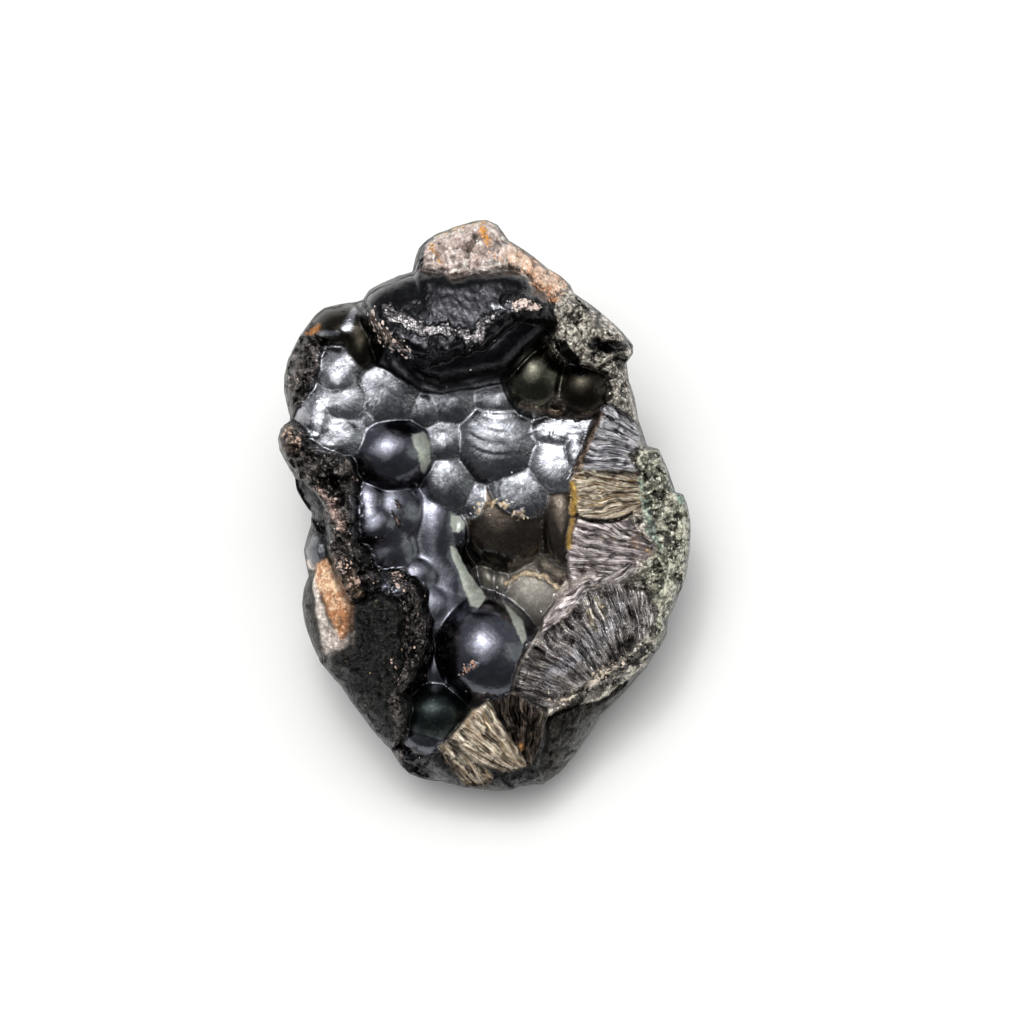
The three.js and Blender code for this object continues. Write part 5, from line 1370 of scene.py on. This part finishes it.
grain_relief = weighted_sum(ore, 0.0, (clumps, 2.2), (grain_lift, 0.5))
fibre_relief = weighted_sum(ore, 0.0, (fibres, 1.3))
relief = weighted_sum(
    ore, 0.0, (grain_relief, seen["grain"]), (fibre_relief, seen["fibre"]), (clumps, 0.05))
normal = add(ore, "Bump", {"Height": relief, "Strength": 1.0, "Distance": MILLIMETRE})[0]
facets = add(ore, "TexVoronoi", {"Vector": place, "Scale": pitch(FACET_SIZE)})["Color"]
for cells, share, tilt in (
    (facets, seen["grain"], FACET_TILT),
    (grains["Color"], seen["grain"], GRAIN_TILT),
    (fibre_cells, seen["fibre"], FIBRE_TILT),
):
    centred = add(ore, "VectorMath", {0: cells, 1: (0.5, 0.5, 0.5)}, operation="SUBTRACT")[0]
    amount = add(ore, "Math", {0: share, 1: tilt}, operation="MULTIPLY")[0]
    tipped = add(ore, "VectorMath", {0: centred, "Scale": amount}, operation="SCALE")[0]
    normal = add(ore, "VectorMath", {0: normal, 1: tipped}, operation="ADD")[0]
normal = add(ore, "VectorMath", {0: normal}, operation="NORMALIZE")[0]
print("nodes in all:", len(ore.nodes))

# %% Dress the specimen
for name, socket in (
    ("Base Color", colour), ("Metallic", metal), ("Roughness", seen["rough"]), ("Normal", normal)
):
    ore.links.new(socket, shader.inputs[name])
specimen.data.materials.append(material)
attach(specimen, "root")
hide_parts("hematite")
print("material:", material.name)

# %% [markdown]
# ## Floor
# A pale matte card lets the dark stone stand out and throws soft light back at its flanks.

# %% The card
CARD = 3.0

corners = CARD * np.array([[-1, -1, 0], [1, -1, 0], [1, 1, 0], [-1, 1, 0]])
floor = make_mesh("floor", corners, np.array([[0, 1, 2], [0, 2, 3]]))
card, _, card_shader = new_material("pale matte card")
card_shader.inputs["Base Color"].default_value = (*linear("#e9e8e6"), 1)
card_shader.inputs["Roughness"].default_value = 0.9
floor.data.materials.append(card)
print("card:", 2 * CARD, "m square")

# %% [markdown]
# ## Light
# A glossy dome shows the light itself, so the light's shape matters more than its strength. Five
# rectangles, each smaller and brighter than the one before, make one soft light with a bright
# core, and each dome then shows a highlight that fades outwards. A weak side light draws the
# edges on the right.

# %% Lights
SIDE = Vector((1, 0, 0))
FACE_UP = Vector((0, np.cos(RECLINE), np.sin(RECLINE)))
FACE_OUT = Vector((0, -np.sin(RECLINE), np.cos(RECLINE)))
AIM = Vector(to_world(np.array([[7.0, -1.4, -4.0]]))[0])
# degrees to the right and up off the line square to the face, distance in m, half angles of the
# rectangle in degrees, radiance and colour
LIGHTS = {
    "wide key": (-8, 22, 1.6, (38, 31), 0.9, "#ffffff"),
    "large key": (-9, 22, 1.55, (25, 20), 1.8, "#ffffff"),
    "middle key": (-9, 23, 1.5, (16, 13), 3.0, "#ffffff"),
    "narrow key": (-10, 25, 1.4, (9, 7), 4.6, "#ffffff"),
    "core": (-10, 27, 1.3, (3.5, 3), 16.0, "#ffffff"),
    "side": (72, 2, 0.8, (16, 30), 1.0, "#e3eadb"),
}


def area_light(name, right, up, distance, half_angles, radiance, colour):
    """A rectangle aimed at the specimen; its power is pi times its radiance times its area."""
    a, b = np.radians(right), np.radians(up)
    direction = FACE_OUT * np.cos(a) * np.cos(b) + SIDE * np.sin(a) * np.cos(b) + FACE_UP * np.sin(b)
    data = bpy.data.lights.new(name, "AREA")
    data.shape = "RECTANGLE"
    data.size, data.size_y = (2 * distance * np.tan(np.radians(half)) for half in half_angles)
    data.energy = np.pi * radiance * data.size * data.size_y
    data.color = linear(colour)
    light = bpy.data.objects.new(name, data)
    bpy.context.collection.objects.link(light)
    light.location = AIM + direction.normalized() * distance
    light.rotation_euler = (-direction).to_track_quat("-Z", "Y").to_euler()
    return data.energy


powers = [area_light(name, *settings) for name, settings in LIGHTS.items()]
print("light powers in W:", np.round(powers, 1))

# %% [markdown]
# ## Surroundings
# The room is dimmer behind the camera than beyond the peak, so domes that face the camera stay
# dark and their far slopes catch a little light. Colours are shown as they are, with no film
# curve over them.

# %% Room
ROOM = {"From Min": -0.7, "From Max": 0.4, "To Min": 0.22, "To Max": 0.65}

world = bpy.data.worlds.new("studio")
bpy.context.scene.world = world
world.use_nodes = True
sky = world.node_tree
background = sky.nodes["Background"]
background.inputs["Color"].default_value = (*linear("#dfe2e7"), 1)
far = add(sky, "SeparateXYZ", {"Vector": add(sky, "TexCoord", {})["Generated"]})["Y"]
sky.links.new(add(sky, "MapRange", {"Value": far, **ROOM})[0], background.inputs["Strength"])
bpy.context.scene.view_settings.view_transform = "Standard"
print("room strength:", ROOM["To Min"], "to", ROOM["To Max"])

# %% [markdown]
# ## Camera
# The camera looks square at the leaning face from above, far enough away that the domes keep
# their true proportions.

# %% Camera
DISTANCE = 1.2
VIEW_WIDTH = 0.2652

lens = bpy.data.cameras.new("camera")
lens.angle = 2 * np.arctan(VIEW_WIDTH / 2 / DISTANCE)
camera = bpy.data.objects.new("camera", lens)
bpy.context.collection.objects.link(camera)
camera.location = AIM + FACE_OUT * DISTANCE
camera.rotation_euler = (RECLINE, 0, 0)
bpy.context.scene.camera = camera
print("angle of view in degrees:", round(np.degrees(lens.angle), 1))
